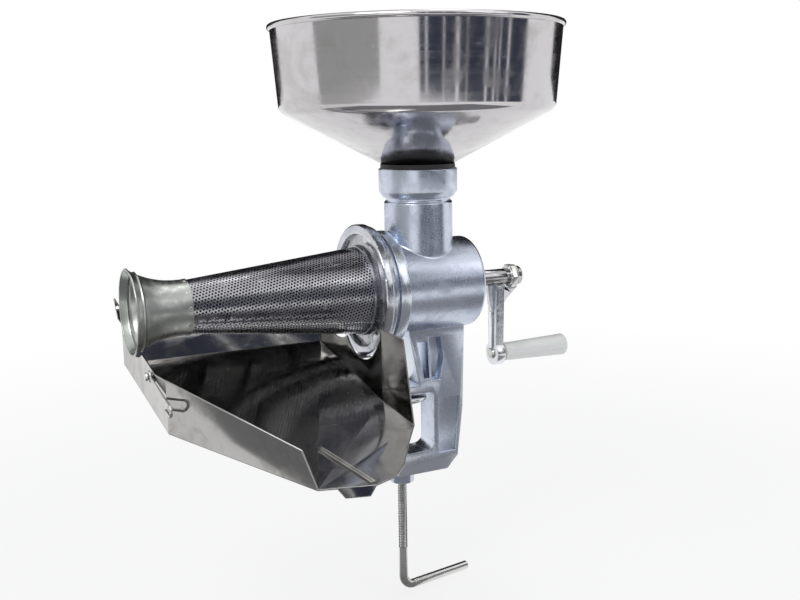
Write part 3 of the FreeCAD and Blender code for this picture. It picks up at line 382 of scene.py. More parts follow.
class Effect(Enum):
    """Surface effects that several finishes share, each one node group."""

    SMUDGES = "smudges"
    SCRATCHES = "fine_scratches"
    SPUN_LINES = "spun_lines"
    CAST_GRAIN = "cast_grain"
    EDGE_WEAR = "edge_wear"

    def group(self) -> bpy.types.NodeTree:
        """Return the effect's node group, built on first use."""
        made = bpy.data.node_groups.get(self.value)
        if made is not None:
            return made
        made = bpy.data.node_groups.new(self.value, "ShaderNodeTree")
        made.interface.new_socket("Vector", in_out="INPUT", socket_type="NodeSocketVector")
        size = made.interface.new_socket("Size", in_out="INPUT", socket_type="NodeSocketFloat")
        size.default_value = 20.0
        made.interface.new_socket("Mask", in_out="OUTPUT", socket_type="NodeSocketFloat")
        bench = Bench(made)
        entry = bench.add("NodeGroupInput")
        leave = bench.add("NodeGroupOutput")
        builders = {
            Effect.SMUDGES: Effect._smudges,
            Effect.SCRATCHES: Effect._scratches,
            Effect.SPUN_LINES: Effect._spun_lines,
            Effect.CAST_GRAIN: Effect._cast_grain,
            Effect.EDGE_WEAR: Effect._edge_wear,
        }
        mask = builders[self](bench, entry.outputs["Vector"], entry.outputs["Size"])
        bench.feed(mask, leave.inputs["Mask"])
        return made

    @staticmethod
    def _smudges(bench: Bench, vector: Feed, size: Feed) -> bpy.types.NodeSocket:
        """Wiped patches with finer spots in them."""
        wide = bench.noise(vector, size, 4.0, 0.6, 1.4)
        fine = bench.noise(vector, bench.math("MULTIPLY", size, 6.0), 3.0, 0.6, 0.4)
        both = bench.math("ADD", bench.math("MULTIPLY", wide, 0.75),
                          bench.math("MULTIPLY", fine, 0.25))
        return bench.between(both, 0.44, 0.66)

    @staticmethod
    def _scratches(bench: Bench, vector: Feed, size: Feed) -> bpy.types.NodeSocket:
        """Sparse hairlines in two directions."""
        first = bench.noise(bench.stretched(vector, (3, 90, 30), (0.5, 0.2, 0.6)), size, 2.0)
        second = bench.noise(bench.stretched(vector, (70, 4, 60), (0.3, 0.9, -0.4)), size, 2.0)
        lines = bench.math("MAXIMUM", bench.between(first, 0.66, 0.74),
                           bench.between(second, 0.67, 0.75))
        patches = bench.between(bench.noise(vector, 26.0, 2.0), 0.4, 0.6)
        return bench.math("MULTIPLY", lines, patches)

    @staticmethod
    def _spun_lines(bench: Bench, vector: Feed, size: Feed) -> bpy.types.NodeSocket:
        """Rings about the Z axis of the given coordinates."""
        parts = bench.add("ShaderNodeSeparateXYZ", {0: vector})
        squares = bench.math("ADD", bench.math("POWER", parts.outputs[0], 2.0),
                             bench.math("POWER", parts.outputs[1], 2.0))
        radius = bench.math("SQRT", squares)
        place = bench.add("ShaderNodeCombineXYZ", {0: radius, 1: parts.outputs[2]}).outputs[0]
        fine = bench.noise(place, bench.math("MULTIPLY", size, 12.0), 3.0, 0.7)
        wide = bench.noise(place, size, 3.0, 0.6)
        return bench.math("ADD", bench.math("MULTIPLY", fine, 0.6),
                          bench.math("MULTIPLY", wide, 0.4))

    @staticmethod
    def _cast_grain(bench: Bench, vector: Feed, size: Feed) -> bpy.types.NodeSocket:
        """Shallow waves of a buffed casting with small pits."""
        waves = bench.noise(vector, size, 2.0, 0.4)
        fine = bench.noise(vector, bench.math("MULTIPLY", size, 7.0), 3.0, 0.6)
        pits = bench.between(bench.noise(vector, bench.math("MULTIPLY", size, 4.0), 1.0),
                             0.24, 0.3)
        height = bench.math("ADD", waves, bench.math("MULTIPLY", fine, 0.12))
        return bench.math("ADD", height, bench.math("MULTIPLY", pits, 0.12))

    @staticmethod
    def _edge_wear(bench: Bench, vector: Feed, size: Feed) -> bpy.types.NodeSocket:
        """Edges rubbed bright, broken up by a cloudy pattern."""
        edge = bench.add("ShaderNodeNewGeometry").outputs["Pointiness"]
        patches = bench.noise(vector, size, 4.0, 0.6)
        lifted = bench.math("ADD", edge, bench.math("MULTIPLY",
                                                    bench.math("SUBTRACT", patches, 0.5), 0.03))
        return bench.between(lifted, 0.51, 0.56)

    def use(self, bench: Bench, vector: Feed, size: float) -> bpy.types.NodeSocket:
        """Place the effect in a material.

        Args:
            bench: The material's tree.
            vector: Coordinates that the effect follows.
            size: How fine it is: a larger number is finer.

        Returns:
            The effect's mask or height.
        """
        node = bench.add("ShaderNodeGroup", node_tree=self.group())
        bench.feed(vector, node.inputs["Vector"])
        node.inputs["Size"].default_value = size
        return node.outputs["Mask"]


@dataclass(frozen=True)
class MetalFinish:
    """A bare metal surface: its colour, polish, haze, grain and wear."""

    name: str
    tone: Colour
    stain: Colour
    polish: float
    haze: float
    smudge_size: float = 22.0
    grain: float = 0.0
    grain_size: float = 300.0
    spun: Optional[Axis] = None
    lines: float = 0.0
    scratches: float = 0.0
    worn: Optional[Colour] = None
    sheen_lines: float = 0.0

    def build(self) -> bpy.types.Material:
        """Return the finish as a material, built on first use."""
        made = bpy.data.materials.get(self.name)
        if made is not None:
            return made
        made = bpy.data.materials.new(self.name)
        made.use_nodes = True
        made.node_tree.nodes.clear()
        bench = Bench(made.node_tree)
        place = bench.add("ShaderNodeTexCoord").outputs["Object"]
        smudges = Effect.SMUDGES.use(bench, place, self.smudge_size)
        colour = bench.mix(smudges, self.tone, self.stain)
        rough = bench.between(smudges, 0.0, 1.0, self.polish, self.haze)
        height: Feed = bench.math("MULTIPLY", smudges, 0.0004)
        if self.grain:
            grain = Effect.CAST_GRAIN.use(bench, place, self.grain_size)
            height = bench.math("ADD", height, bench.math("MULTIPLY", grain, self.grain))
        if self.spun is not None:
            turn = (0.0, -math.pi / 2, 0.0) if self.spun is Axis.DRIVE else (0.0, 0.0, 0.0)
            shifted = bench.add("ShaderNodeVectorMath", {0: place, 1: self.spun.origin},
                                operation="SUBTRACT").outputs[0]
            lines = Effect.SPUN_LINES.use(bench, bench.stretched(shifted, (1, 1, 1), turn), 150.0)
            height = bench.math("ADD", height, bench.math("MULTIPLY", lines, self.lines))
            rough = bench.math("ADD", rough, bench.between(lines, 0.35, 0.65, -self.sheen_lines,
                                                           self.sheen_lines))
        if self.scratches:
            marks = Effect.SCRATCHES.use(bench, place, 9.0)
            rough = bench.math("ADD", rough, bench.math("MULTIPLY", marks, self.scratches))
            height = bench.math("SUBTRACT", height, bench.math("MULTIPLY", marks, 0.002))
        if self.worn is not None:
            wear = Effect.EDGE_WEAR.use(bench, place, 90.0)
            colour = bench.mix(wear, colour, self.worn)
            rough = bench.math("SUBTRACT", rough, bench.math("MULTIPLY", wear, 0.06))
        bump = bench.add("ShaderNodeBump", {"Strength": 1.0, "Distance": MM, "Height": height})
        shader = bench.add("ShaderNodeBsdfPrincipled", {
            "Base Color": colour, "Metallic": 1.0, "Roughness": rough,
            "Normal": bump.outputs["Normal"]})
        bench.add("ShaderNodeOutputMaterial", {"Surface": shader.outputs[0]})
        return made


@dataclass(frozen=True)
class MouldedFinish:
    """A plastic, nylon, rubber or enamel surface."""

    name: str
    tone: Colour
    stain: Colour
    rough: float
    dull: float
    grain: float
    grain_size: float
    coat: float = 0.0
    scatter: float = 0.0

    def build(self) -> bpy.types.Material:
        """Return the finish as a material, built on first use."""
        made = bpy.data.materials.get(self.name)
        if made is not None:
            return made
        made = bpy.data.materials.new(self.name)
        made.use_nodes = True
        made.node_tree.nodes.clear()
        bench = Bench(made.node_tree)
        place = bench.add("ShaderNodeTexCoord").outputs["Object"]
        smudges = Effect.SMUDGES.use(bench, place, 40.0)
        grain = Effect.CAST_GRAIN.use(bench, place, self.grain_size)
        wear = Effect.EDGE_WEAR.use(bench, place, 120.0)
        colour = bench.mix(bench.math("MULTIPLY", smudges, 0.8), self.tone, self.stain)
        colour = bench.mix(bench.math("MULTIPLY", wear, 0.5), colour, self.stain)
        rough = bench.between(smudges, 0.0, 1.0, self.rough, self.dull)
        height = bench.math("MULTIPLY", grain, self.grain)
        bump = bench.add("ShaderNodeBump", {"Strength": 1.0, "Distance": MM, "Height": height})
        shader = bench.add("ShaderNodeBsdfPrincipled", {
            "Base Color": colour, "Metallic": 0.0, "Roughness": rough,
            "Normal": bump.outputs["Normal"]})
        shader.inputs["Coat Weight"].default_value = self.coat
        shader.inputs["Coat Roughness"].default_value = 0.15
        shader.inputs["Subsurface Weight"].default_value = self.scatter
        shader.inputs["Subsurface Scale"].default_value = 0.002
        bench.add("ShaderNodeOutputMaterial", {"Surface": shader.outputs[0]})
        return made


Finish = Union[MetalFinish, MouldedFinish]

POLISHED_SHEET = MetalFinish(
    "polished_sheet", (0.60, 0.585, 0.60), (0.52, 0.50, 0.505), 0.10, 0.19, 16.0,
    spun=Axis.NECK, lines=0.0035, sheen_lines=0.03, scratches=0.10)
TRAY_SHEET = MetalFinish(
    "tray_sheet", (0.46, 0.455, 0.445), (0.37, 0.36, 0.345), 0.08, 0.17, 24.0, scratches=0.16)
SATIN_SHEET = MetalFinish(
    "satin_sheet", (0.47, 0.49, 0.465), (0.39, 0.405, 0.38), 0.30, 0.42, 40.0,
    spun=Axis.DRIVE, lines=0.010, sheen_lines=0.06, scratches=0.08)
SCREEN_SHEET = MetalFinish(
    "screen_sheet", (0.44, 0.44, 0.47), (0.36, 0.36, 0.39), 0.20, 0.30, 60.0, scratches=0.1)
# Seam beads: near-white and far brighter than the screen sheet. This is a painted highlight for the
# light that the seam's edge catches.
BEAD_WITH_PAINTED_HIGHLIGHT = MetalFinish(
    "bead_with_painted_highlight", (0.92, 0.92, 0.92), (0.82, 0.82, 0.82), 0.24, 0.34, 200.0)
BUFFED_CASTING = MetalFinish(
    "buffed_casting", (0.62, 0.67, 0.78), (0.53, 0.58, 0.69), 0.27, 0.40, 30.0,
    grain=0.055, grain_size=190.0, scratches=0.08, worn=(0.80, 0.84, 0.90))
POLISHED_RING = MetalFinish(
    "polished_ring", (0.58, 0.60, 0.65), (0.48, 0.50, 0.55), 0.19, 0.30, 34.0,
    grain=0.03, grain_size=210.0, spun=Axis.DRIVE, lines=0.006, sheen_lines=0.04,
    scratches=0.12, worn=(0.78, 0.80, 0.84))
CRANK_CASTING = MetalFinish(
    "crank_casting", (0.70, 0.72, 0.76), (0.60, 0.62, 0.66), 0.28, 0.42, 60.0,
    grain=0.06, grain_size=260.0, worn=(0.88, 0.90, 0.92))
BRIGHT_ZINC = MetalFinish(
    "bright_zinc", (0.60, 0.60, 0.585), (0.47, 0.46, 0.43), 0.20, 0.36, 90.0,
    grain=0.012, grain_size=700.0, scratches=0.1, worn=(0.78, 0.78, 0.76))
GROUND_STEEL = MetalFinish(
    "ground_steel", (0.50, 0.49, 0.50), (0.40, 0.39, 0.40), 0.12, 0.22, 60.0,
    spun=Axis.DRIVE, lines=0.003, sheen_lines=0.03, scratches=0.1)
SINTERED_BRONZE = MetalFinish(
    "sintered_bronze", (0.52, 0.34, 0.17), (0.36, 0.23, 0.12), 0.34, 0.5, 120.0,
    grain=0.02, grain_size=1500.0)
BLACK_RUBBER = MouldedFinish(
    "black_rubber", (0.018, 0.018, 0.02), (0.045, 0.045, 0.048), 0.55, 0.72, 0.02, 900.0)
FOOD_RUBBER = MouldedFinish(
    "food_rubber", (0.72, 0.70, 0.66), (0.62, 0.59, 0.54), 0.5, 0.62, 0.015, 900.0)
WHITE_GRIP = MouldedFinish(
    "white_grip", (0.83, 0.84, 0.83), (0.74, 0.75, 0.73), 0.24, 0.36, 0.01, 420.0,
    coat=0.25, scatter=0.08)
DARK_NYLON = MouldedFinish(
    "dark_nylon", (0.035, 0.035, 0.038), (0.06, 0.06, 0.062), 0.38, 0.5, 0.02, 500.0)


def finished(piece: bpy.types.Object, finish: Finish,
             body: str) -> bpy.types.Object:
    """Give a new piece its finish and the body it rides on.

    Args:
        piece: The new piece.
        finish: Its surface.
        body: The body it moves with.

    Returns:
        The same piece.
    """
    piece.data.materials.clear()
    piece.data.materials.append(finish.build())
    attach(piece, body)
    return piece


def painted(node: str, finish: Finish) -> bpy.types.Object:
    """Give a carried-over node a finish and show it as it is."""
    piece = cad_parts[node]
    for place in piece.material_slots:
        place.material = finish.build()
    return piece


# Sub-assemblies, sizes in millimetres from where the two axes meet


@dataclass
class HopperUnit:
    """Spun hopper with a rolled rim, and the ring seal under it."""

    rim_r: float = 117.6
    rim_z: float = 210.8
    bead_r: float = 2.4
    shoulder_r: float = 112.6
    shoulder_z: float = 144.8
    bend: float = 9.0
    foot_r: float = 29.8
    foot_z: float = 101.4
    tube_r: float = 26.0
    tube_end_z: float = 82.0
    sheet: float = 1.0
    steps: int = 256

    def outline(self) -> list[tuple[float, float]]:
        """Return the closed outline of the sheet with its rolled rim."""
        sheet = self.sheet
        outer = rounded([
            (self.tube_end_z, self.tube_r),
            (self.foot_z, self.tube_r),
            (self.foot_z, self.foot_r),
            (self.shoulder_z, self.shoulder_r, self.bend),
            (self.rim_z - self.bead_r, self.rim_r - 0.18),
        ], 10)
        roll = arc((self.rim_z, self.rim_r), self.bead_r, 176.0, -151.0, 22)
        inner = rounded([
            (self.rim_z - self.bead_r, self.rim_r - 0.18 - sheet),
            (self.shoulder_z + sheet * 0.6, self.shoulder_r - sheet, self.bend - sheet),
            (self.foot_z + sheet, self.foot_r - sheet * 0.3),
            (self.foot_z + sheet, self.tube_r - sheet),
            (self.tube_end_z, self.tube_r - sheet),
        ], 10)
        return outer[:-1] + roll + inner[1:]

    def build(self) -> list[bpy.types.Object]:
        """Build the hopper and dress its seal."""
        hopper = turned("spun_hopper", self.outline(), Axis.NECK, self.steps, 40.0)
        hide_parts("hopper")
        finished(hopper, POLISHED_SHEET, "hopper_unit")
        return [hopper, painted("hopper_seal", BLACK_RUBBER)]


@dataclass
class Body:
    """Cast body with its bushing, lip seal, bayonet ring and gasket."""

    casting_round: float = 0.7
    ring_round: float = 0.5

    def build(self) -> list[bpy.types.Object]:
        """Round the cast pieces' edges and dress the small rings."""
        casting = softened("body_casting", "buffed_body", self.casting_round, merge=0.04)
        finished(casting, BUFFED_CASTING, "body")
        ring = softened("bayonet_ring", "lock_ring", self.ring_round, merge=0.04)
        finished(ring, POLISHED_RING, "body")
        return [casting, ring, painted("shaft_bushing", SINTERED_BRONZE),
                painted("shaft_seal", BLACK_RUBBER), painted("strainer_gasket", FOOD_RUBBER)]


@dataclass
class Strainer:
    """Perforated cone with its lap seam, its flange and the flared outlet."""

    wide_r: float = 35.6
    wide_x: float = -58.4
    narrow_r: float = 20.4
    narrow_x: float = -203.0
    front_x: float = -52.0
    sheet: float = 0.9
    pitch: float = 2.6
    hole_r: float = 0.80
    lap: float = 4.5
    lap_lift: float = 0.95
    seam_angle: float = 124.5
    seam_step: float = 1.4
    seam_out: float = 0.6
    seam_count: int = 54
    seam_bead_r: float = 0.7
    waist_x: float = -207.0
    mouth_x: float = -243.0
    flare: float = 61.2
    sleeve: float = 4.0
    bead_x: float = -236.5
    bead_rise: float = 1.2
    weld_count: int = 10
    weld_first: float = 0.35
    weld_x: float = -200.9
    weld_out: float = 1.15

    def punched_sheet(self, reach: float, width: float) -> bpy.types.Object:
        """Make a flat sheet with staggered rows of holes.

        Args:
            reach: Length of the sheet from the cone's tip, in millimetres.
            width: Width of the sheet, in millimetres.

        Returns:
            The sheet, flat in the XY plane with the cone's tip at the origin.
        """
        row = self.pitch * math.sqrt(0.75)
        start = (self.narrow_x - self.tip_x) / math.cos(self.slope) * 0.92
        columns = int((reach - start) / self.pitch) + 2
        rows = int(width / row) + 4
        bpy.ops.object.select_all(action="DESELECT")
        bpy.ops.mesh.primitive_grid_add(x_subdivisions=columns, y_subdivisions=rows, size=1.0)
        sheet = bpy.context.object
        sheet.name = "punched_cone"
        with editing(sheet) as cage:
            bpy.ops.transform.resize(value=(columns * self.pitch * MM, rows * row * MM, 1.0))
            bpy.ops.mesh.select_all(action="DESELECT")
            for vertex in cage.verts:
                number = round(vertex.co.y / (row * MM) + rows / 2)
                vertex.select_set(number % 2 == 1)
            bpy.ops.transform.translate(value=(self.pitch / 2 * MM, 0.0, 0.0))
            bpy.ops.mesh.select_all(action="SELECT")
            bpy.ops.transform.translate(
                value=((start + columns * self.pitch / 2) * MM, 0.0, 0.0))
            bpy.ops.mesh.quads_convert_to_tris(quad_method="SHORTEST_DIAGONAL")
            bpy.ops.mesh.select_all(action="SELECT")
            bpy.ops.mesh.bevel(offset=self.hole_r * 1.1 * MM, affect="VERTICES", segments=1)
        with editing(sheet, everything=False) as cage:
            pick_faces(cage, lambda face: self.on_row(face.calc_center_median().y / (row * MM)
                                                      + rows / 2))
            bpy.ops.mesh.delete(type="FACE")
        return sheet

    def on_row(self, place: float) -> bool:
        """Tell whether a place counted in rows lies on a row of holes."""
        return abs(place - round(place)) < 0.12

    @property
    def slope(self) -> float:
        """Half of the cone's angle, in radians."""
        return math.atan((self.wide_r - self.narrow_r) / (self.wide_x - self.narrow_x))

    @property
    def tip_x(self) -> float:
        """Where the cone would come to a point."""
        return self.narrow_x - self.narrow_r / math.tan(self.slope)

    def screen(self) -> bpy.types.Object:
        """Roll the punched sheet into the cone, one edge lapped over the other."""
        reach = (self.front_x - self.tip_x) / math.cos(self.slope) + 1.0
        spread = math.tau * math.sin(self.slope)
        lap = self.lap / (reach * 0.8)
        half = (spread + lap) / 2
        sheet = self.punched_sheet(reach, 2 * reach * math.sin(half) + 8.0)
        for side in (-1.0, 1.0):
            with editing(sheet):
                across = Vector((-math.sin(half) * side, math.cos(half), 0.0)) * side
                bpy.ops.mesh.bisect(plane_co=(0, 0, 0), plane_no=across, clear_outer=True)
        edge = math.radians(self.seam_angle)
        for vertex in sheet.data.vertices:
            run = math.hypot(vertex.co.x, vertex.co.y)
            along = math.atan2(vertex.co.y, vertex.co.x) + half
            angle = edge - (spread + lap - along) / math.sin(self.slope)
            x = self.tip_x * MM + run * math.cos(self.slope)
            radius = min(run * math.sin(self.slope), self.wide_r * MM)
            over = (along - (spread - 0.012)) / 0.012
            fade = (x / MM - (self.narrow_x + self.sleeve)) / 3.0
            share = max(0.0, min(1.0, over)) * max(0.0, min(1.0, fade))
            radius += self.lap_lift * MM * share
            vertex.co = AXES_MEET + Vector((x, -radius * math.sin(angle), radius * math.cos(angle)))
        sheet.data.update()
        first = sheet.data.polygons[0]
        outward = first.center - AXES_MEET
        outward.x = 0.0
        turned_in = first.normal.dot(outward) < 0
        for x, clear in ((self.narrow_x, "clear_inner"), (self.front_x, "clear_outer")):
            with editing(sheet):
                bpy.ops.mesh.bisect(plane_co=point(x, 0, 0), plane_no=(1, 0, 0), **{clear: True})
        if turned_in:
            with editing(sheet):
                bpy.ops.mesh.flip_normals()
        wall = sheet.modifiers.new("wall", "SOLIDIFY")
        wall.thickness = self.sheet * MM
        wall.offset = -1.0
        apply_modifiers(sheet)
        shade(sheet, 35.0)
        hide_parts("strainer_cone")
        return finished(sheet, SCREEN_SHEET, "strainer")

    def rise(self, x: float) -> float:
        """How far the outlet has opened and bulged at a place along the axis."""
        run = max(0.0, self.waist_x - x)
        opened = self.flare - math.sqrt(self.flare ** 2 - run ** 2)
        return opened + self.bead_rise * math.exp(-(((x - self.bead_x) / 0.65) ** 2))

    def outlet(self) -> bpy.types.Object:
        """Spin the flared outlet with its pressed bead and rolled mouth."""
        places = [self.narrow_x, self.waist_x]
        places += [self.waist_x - 2.4 * step for step in range(1, 11)]
        places += [self.bead_x + 4.0 - 0.5 * step for step in range(15)]
        places += [self.mouth_x + 1.6, self.mouth_x + 0.5]
        places = sorted(set(places), reverse=True)
        sleeve_x = self.narrow_x + self.sleeve
        lifted = self.narrow_r + self.sleeve * 0.1065
        outer = [(sleeve_x, lifted + 1.0)]
        outer += [(x, self.narrow_r + 1.0 + self.rise(x)) for x in places]
        inner = [(x, self.narrow_r + self.rise(x)) for x in reversed(places)]
        inner += [(sleeve_x, lifted)]
        middle = (outer[-1][1] + inner[0][1]) / 2
        lip = arc((self.mouth_x + 0.65, middle), 0.75, 60.0, 300.0, 8)
        mouth = turned("flared_outlet", outer + lip + inner, Axis.DRIVE, 128, 35.0)
        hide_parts("outlet_trumpet")
        return finished(mouth, SATIN_SHEET, "strainer")

    def spread(self, spot: bpy.types.Object, name: str,
               places: Sequence[tuple[float, float, float]]) -> bpy.types.Object:
        """Copy a small spot that lies at the origin to many places round the drive axis.

        Args:
            spot: The spot to copy, which is removed afterwards.
            name: Name of the joined copies.
            places: Length along the axis and radius in millimetres, and the angle in radians.

        Returns:
            The copies as one piece.
        """
        copies = []
        for x, radius, angle in places:
            copy = own_copy(spot, name)
            turn = Matrix.Rotation(angle, 4, "X")
            lift = Matrix.Translation((x * MM, 0.0, radius * MM))
            copy.data.transform(Matrix.Translation(AXES_MEET) @ turn @ lift)
            copies.append(copy)
        bpy.data.objects.remove(spot)
        return joined(copies, name)

    def welds(self) -> bpy.types.Object:
        """Spread small pressed weld spots round the outlet's sleeve."""
        spot = turned("weld_spot", [(-0.9, 0.0), (-0.9, 1.9), (0.0, 1.9), (0.3, 1.35),
                                    (0.26, 0.8), (-0.02, 0.45), (-0.08, 0.0)],
                      Axis.NECK, 16, 50.0)
        spot.data.transform(Matrix.Translation(-AXES_MEET))
        radius = self.narrow_r + self.weld_out
        places = [(self.weld_x, radius, math.tau * (number + self.weld_first) / self.weld_count)
                  for number in range(self.weld_count)]
        ring = self.spread(spot, "sleeve_welds", places)
        return finished(ring, SATIN_SHEET, "strainer")

    def seam(self) -> bpy.types.Object:
        """Run a row of small weld beads along the edge of the lapped seam, in a near-white finish that
        paints the highlight along the seam's edge.
        """
        bpy.ops.object.select_all(action="DESELECT")
        bpy.ops.mesh.primitive_uv_sphere_add(segments=12, ring_count=8, radius=self.seam_bead_r * MM)
        angle = math.radians(self.seam_angle + self.seam_step)
        start = self.narrow_x + self.sleeve + 3.0
        reach = self.front_x - 4.0 - start
        places = []
        for number in range(self.seam_count):
            x = start + reach * number / (self.seam_count - 1)
            radius = (x - self.tip_x) * math.tan(self.slope) + self.seam_out
            places.append((x, radius, angle))
        row = self.spread(bpy.context.object, "seam_welds", places)
        shade(row, 60.0)
        # The beads' near-white finish is a painted highlight along the seam.
        return finished(row, BEAD_WITH_PAINTED_HIGHLIGHT, "strainer")

    def build(self) -> list[bpy.types.Object]:
        """Build the screen, its flange, its seam and the outlet."""
        flange = softened("strainer_flange", "screen_flange", 0.25)
        finished(flange, SCREEN_SHEET, "strainer")
        return [self.screen(), flange, self.seam(), self.outlet(), self.welds()]


@dataclass
class Crank:
    """Shaft, auger, crank arm, nut, washer and the turning grip."""

    throw: float = 68.0
    grip_front_x: float = 82.4
    grip_end_x: float = 147.0
    grip_front_r: float = 7.9
    grip_end_r: float = 9.7
    bore_r: float = 3.45
    hub_r: float = 6.9

    def on_hub(self, face: bmesh.types.BMFace) -> bool:
        """Tell the faces of the hub that is ground round the drive axis."""
        spot = face.calc_center_median() - AXES_MEET
        return math.hypot(spot.y, spot.z) < (self.hub_r + 0.1) * MM

    def ground_hub(self, arm: bpy.types.Object) -> None:
        """Give the crank's hub its ground surface."""
        arm.data.materials.append(GROUND_STEEL.build())
        arm.active_material_index = 1
        with editing(arm, False) as cage:
            pick_faces(cage, self.on_hub)
            bpy.ops.object.material_slot_assign()

    def grip(self) -> bpy.types.Object:
        """Spin the hollow grip and lower it to its pin."""
        front, end = self.grip_front_x, self.grip_end_x
        outline = rounded([
            (front, self.bore_r),
            (front, self.grip_front_r, 1.4),
            (front + 5.0, self.grip_front_r + 0.1),
            (end, self.grip_end_r, 2.2),
            (end, self.bore_r + 2.4, 0.5),
            (end - 4.0, self.bore_r + 2.4),
            (end - 4.0, self.bore_r),
        ])
        grip = turned("moulded_grip", outline, Axis.DRIVE, 72, 40.0)
        grip.data.transform(Matrix.Translation((0.0, 0.0, -self.throw * MM)))
        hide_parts("crank_grip")
        return finished(grip, WHITE_GRIP, "grip")

    def build(self) -> list[bpy.types.Object]:
        """Build the crank's pieces."""
        arm = softened("crank_arm", "cast_crank", 0.5, sharp=28.0)
        finished(arm, CRANK_CASTING, "crank")
        self.ground_hub(arm)
        made = [arm, self.grip(), painted("auger", DARK_NYLON)]
        for node, name, width in (("crank_nut", "hex_nut", 0.4), ("crank_washer", "flat_washer", 0.3),
                                  ("grip_pin", "riveted_pin", 0.3), ("drive_shaft", "steel_shaft", 0.3)):
            piece = softened(node, name, width)
            made.append(finished(piece, BRIGHT_ZINC, "crank"))
        return made


@dataclass
class TableClamp:
    """Threaded clamp screw with its bent handle, and the swivel pad."""

    crest_r: float = 3.9
    root_r: float = 3.15
    pitch: float = 1.5
    top_z: float = -100.9
    thread_end_z: float = -231.0
    low_z: float = -268.1
    bend_r: float = 11.0
    handle: float = 71.5
    bearing: float = 10.0
    seat_x: float = -19.0
    joint: float = 0.3
    chamfer: float = 0.7
    tip_share: float = 0.82

    def thread(self) -> bpy.types.Object:
        """Wind the thread with a screw modifier and cut its ends square."""
        turns = int((self.top_z - self.thread_end_z) / self.pitch) + 3
        start = self.thread_end_z - self.pitch
        pitch = self.pitch
        outline = [(start, self.crest_r - 0.08), (start + pitch * 0.08, self.crest_r),
                   (start + pitch * 0.46, self.root_r), (start + pitch * 0.6, self.root_r),
                   (start + pitch, self.crest_r - 0.08)]
        rod = traced("screw_thread", [Axis.SCREW.place(*pair) for pair in outline])
        wind = rod.modifiers.new("wind", "SCREW")
        wind.axis = "Z"
        wind.screw_offset = pitch * MM
        wind.iterations = turns
        wind.steps = 24
        wind.render_steps = 24
        wind.use_merge_vertices = True
        wind.merge_threshold = 0.01 * MM
        apply_modifiers(rod)
        close_up(rod, 0.02)
        for z, clear in ((self.top_z, "clear_outer"), (self.thread_end_z, "clear_inner")):
            with editing(rod):
                bpy.ops.mesh.bisect(plane_co=point(self.seat_x, 0, z), plane_no=(0, 0, 1),
                                    use_fill=True, **{clear: True})
        close_up(rod)
        return rod

    def handle_rod(self) -> bpy.types.Object:
        """Pull a round bar down from the thread, round the bend and along the handle."""
        out = Vector((math.cos(math.radians(self.bearing)), math.sin(math.radians(self.bearing)), 0))
        bpy.ops.object.select_all(action="DESELECT")
        bpy.ops.mesh.primitive_circle_add(vertices=40, radius=self.crest_r * MM, fill_type="NGON",
                                          location=point(self.seat_x, 0, self.thread_end_z + self.joint))
        rod = bpy.context.object
        rod.name = "screw_handle"
        bpy.ops.object.transform_apply(location=True, rotation=False, scale=False)
        bend_z = self.low_z + self.bend_r
        with editing(rod):
            drop = (self.thread_end_z + self.joint - bend_z) * MM
            bpy.ops.mesh.extrude_region_move(TRANSFORM_OT_translate={"value": (0, 0, -drop)})
            bpy.ops.mesh.spin(steps=20, angle=-math.pi / 2,
                              center=point(self.seat_x, 0, bend_z) + out * self.bend_r * MM,
                              axis=out.cross(Vector((0, 0, 1))))
            length = self.handle - self.bend_r - self.chamfer
            bpy.ops.mesh.extrude_region_move(
                TRANSFORM_OT_translate={"value": out * length * MM})
            bpy.ops.mesh.extrude_region_move(
                TRANSFORM_OT_translate={"value": out * self.chamfer * MM})
            bpy.ops.transform.resize(value=(self.tip_share,) * 3)
        close_up(rod)
        return rod

    def build(self) -> list[bpy.types.Object]:
        """Build the screw and its pad."""
        screw = joined([self.thread(), self.handle_rod()], "bent_screw")
        shade(screw, 32.0)
        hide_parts("clamp_screw")
        finished(screw, BRIGHT_ZINC, "screw")
        pad = softened("clamp_pad", "swivel_pad", 0.6)
        return [screw, finished(pad, BRIGHT_ZINC, "pad")]


@dataclass
class CatchTray:
    """Folded tray under the strainer with its hem, knob and wire latch."""

    fold_round: float = 0.3

    def build(self) -> list[bpy.types.Object]:
        """Round the sheet's edges and dress the latch."""
        made = []
        for node, name, width, finish, slot, body in (
                ("tray_pan", "folded_tray", self.fold_round, TRAY_SHEET, "tray_steel", "tray"),
                ("tray_hem", "front_hem", 0.2, TRAY_SHEET, "tray_steel", "tray"),
                ("tray_latch_knob", "latch_knob", 0.3, BRIGHT_ZINC, "screw_steel", "tray"),
                ("tray_latch", "wire_latch", 0.15, BRIGHT_ZINC, "screw_steel", "latch")):
            piece = softened(node, name, width, merge=0.02)
            made.append(finished(piece, finish, body))
        return made


# Studio


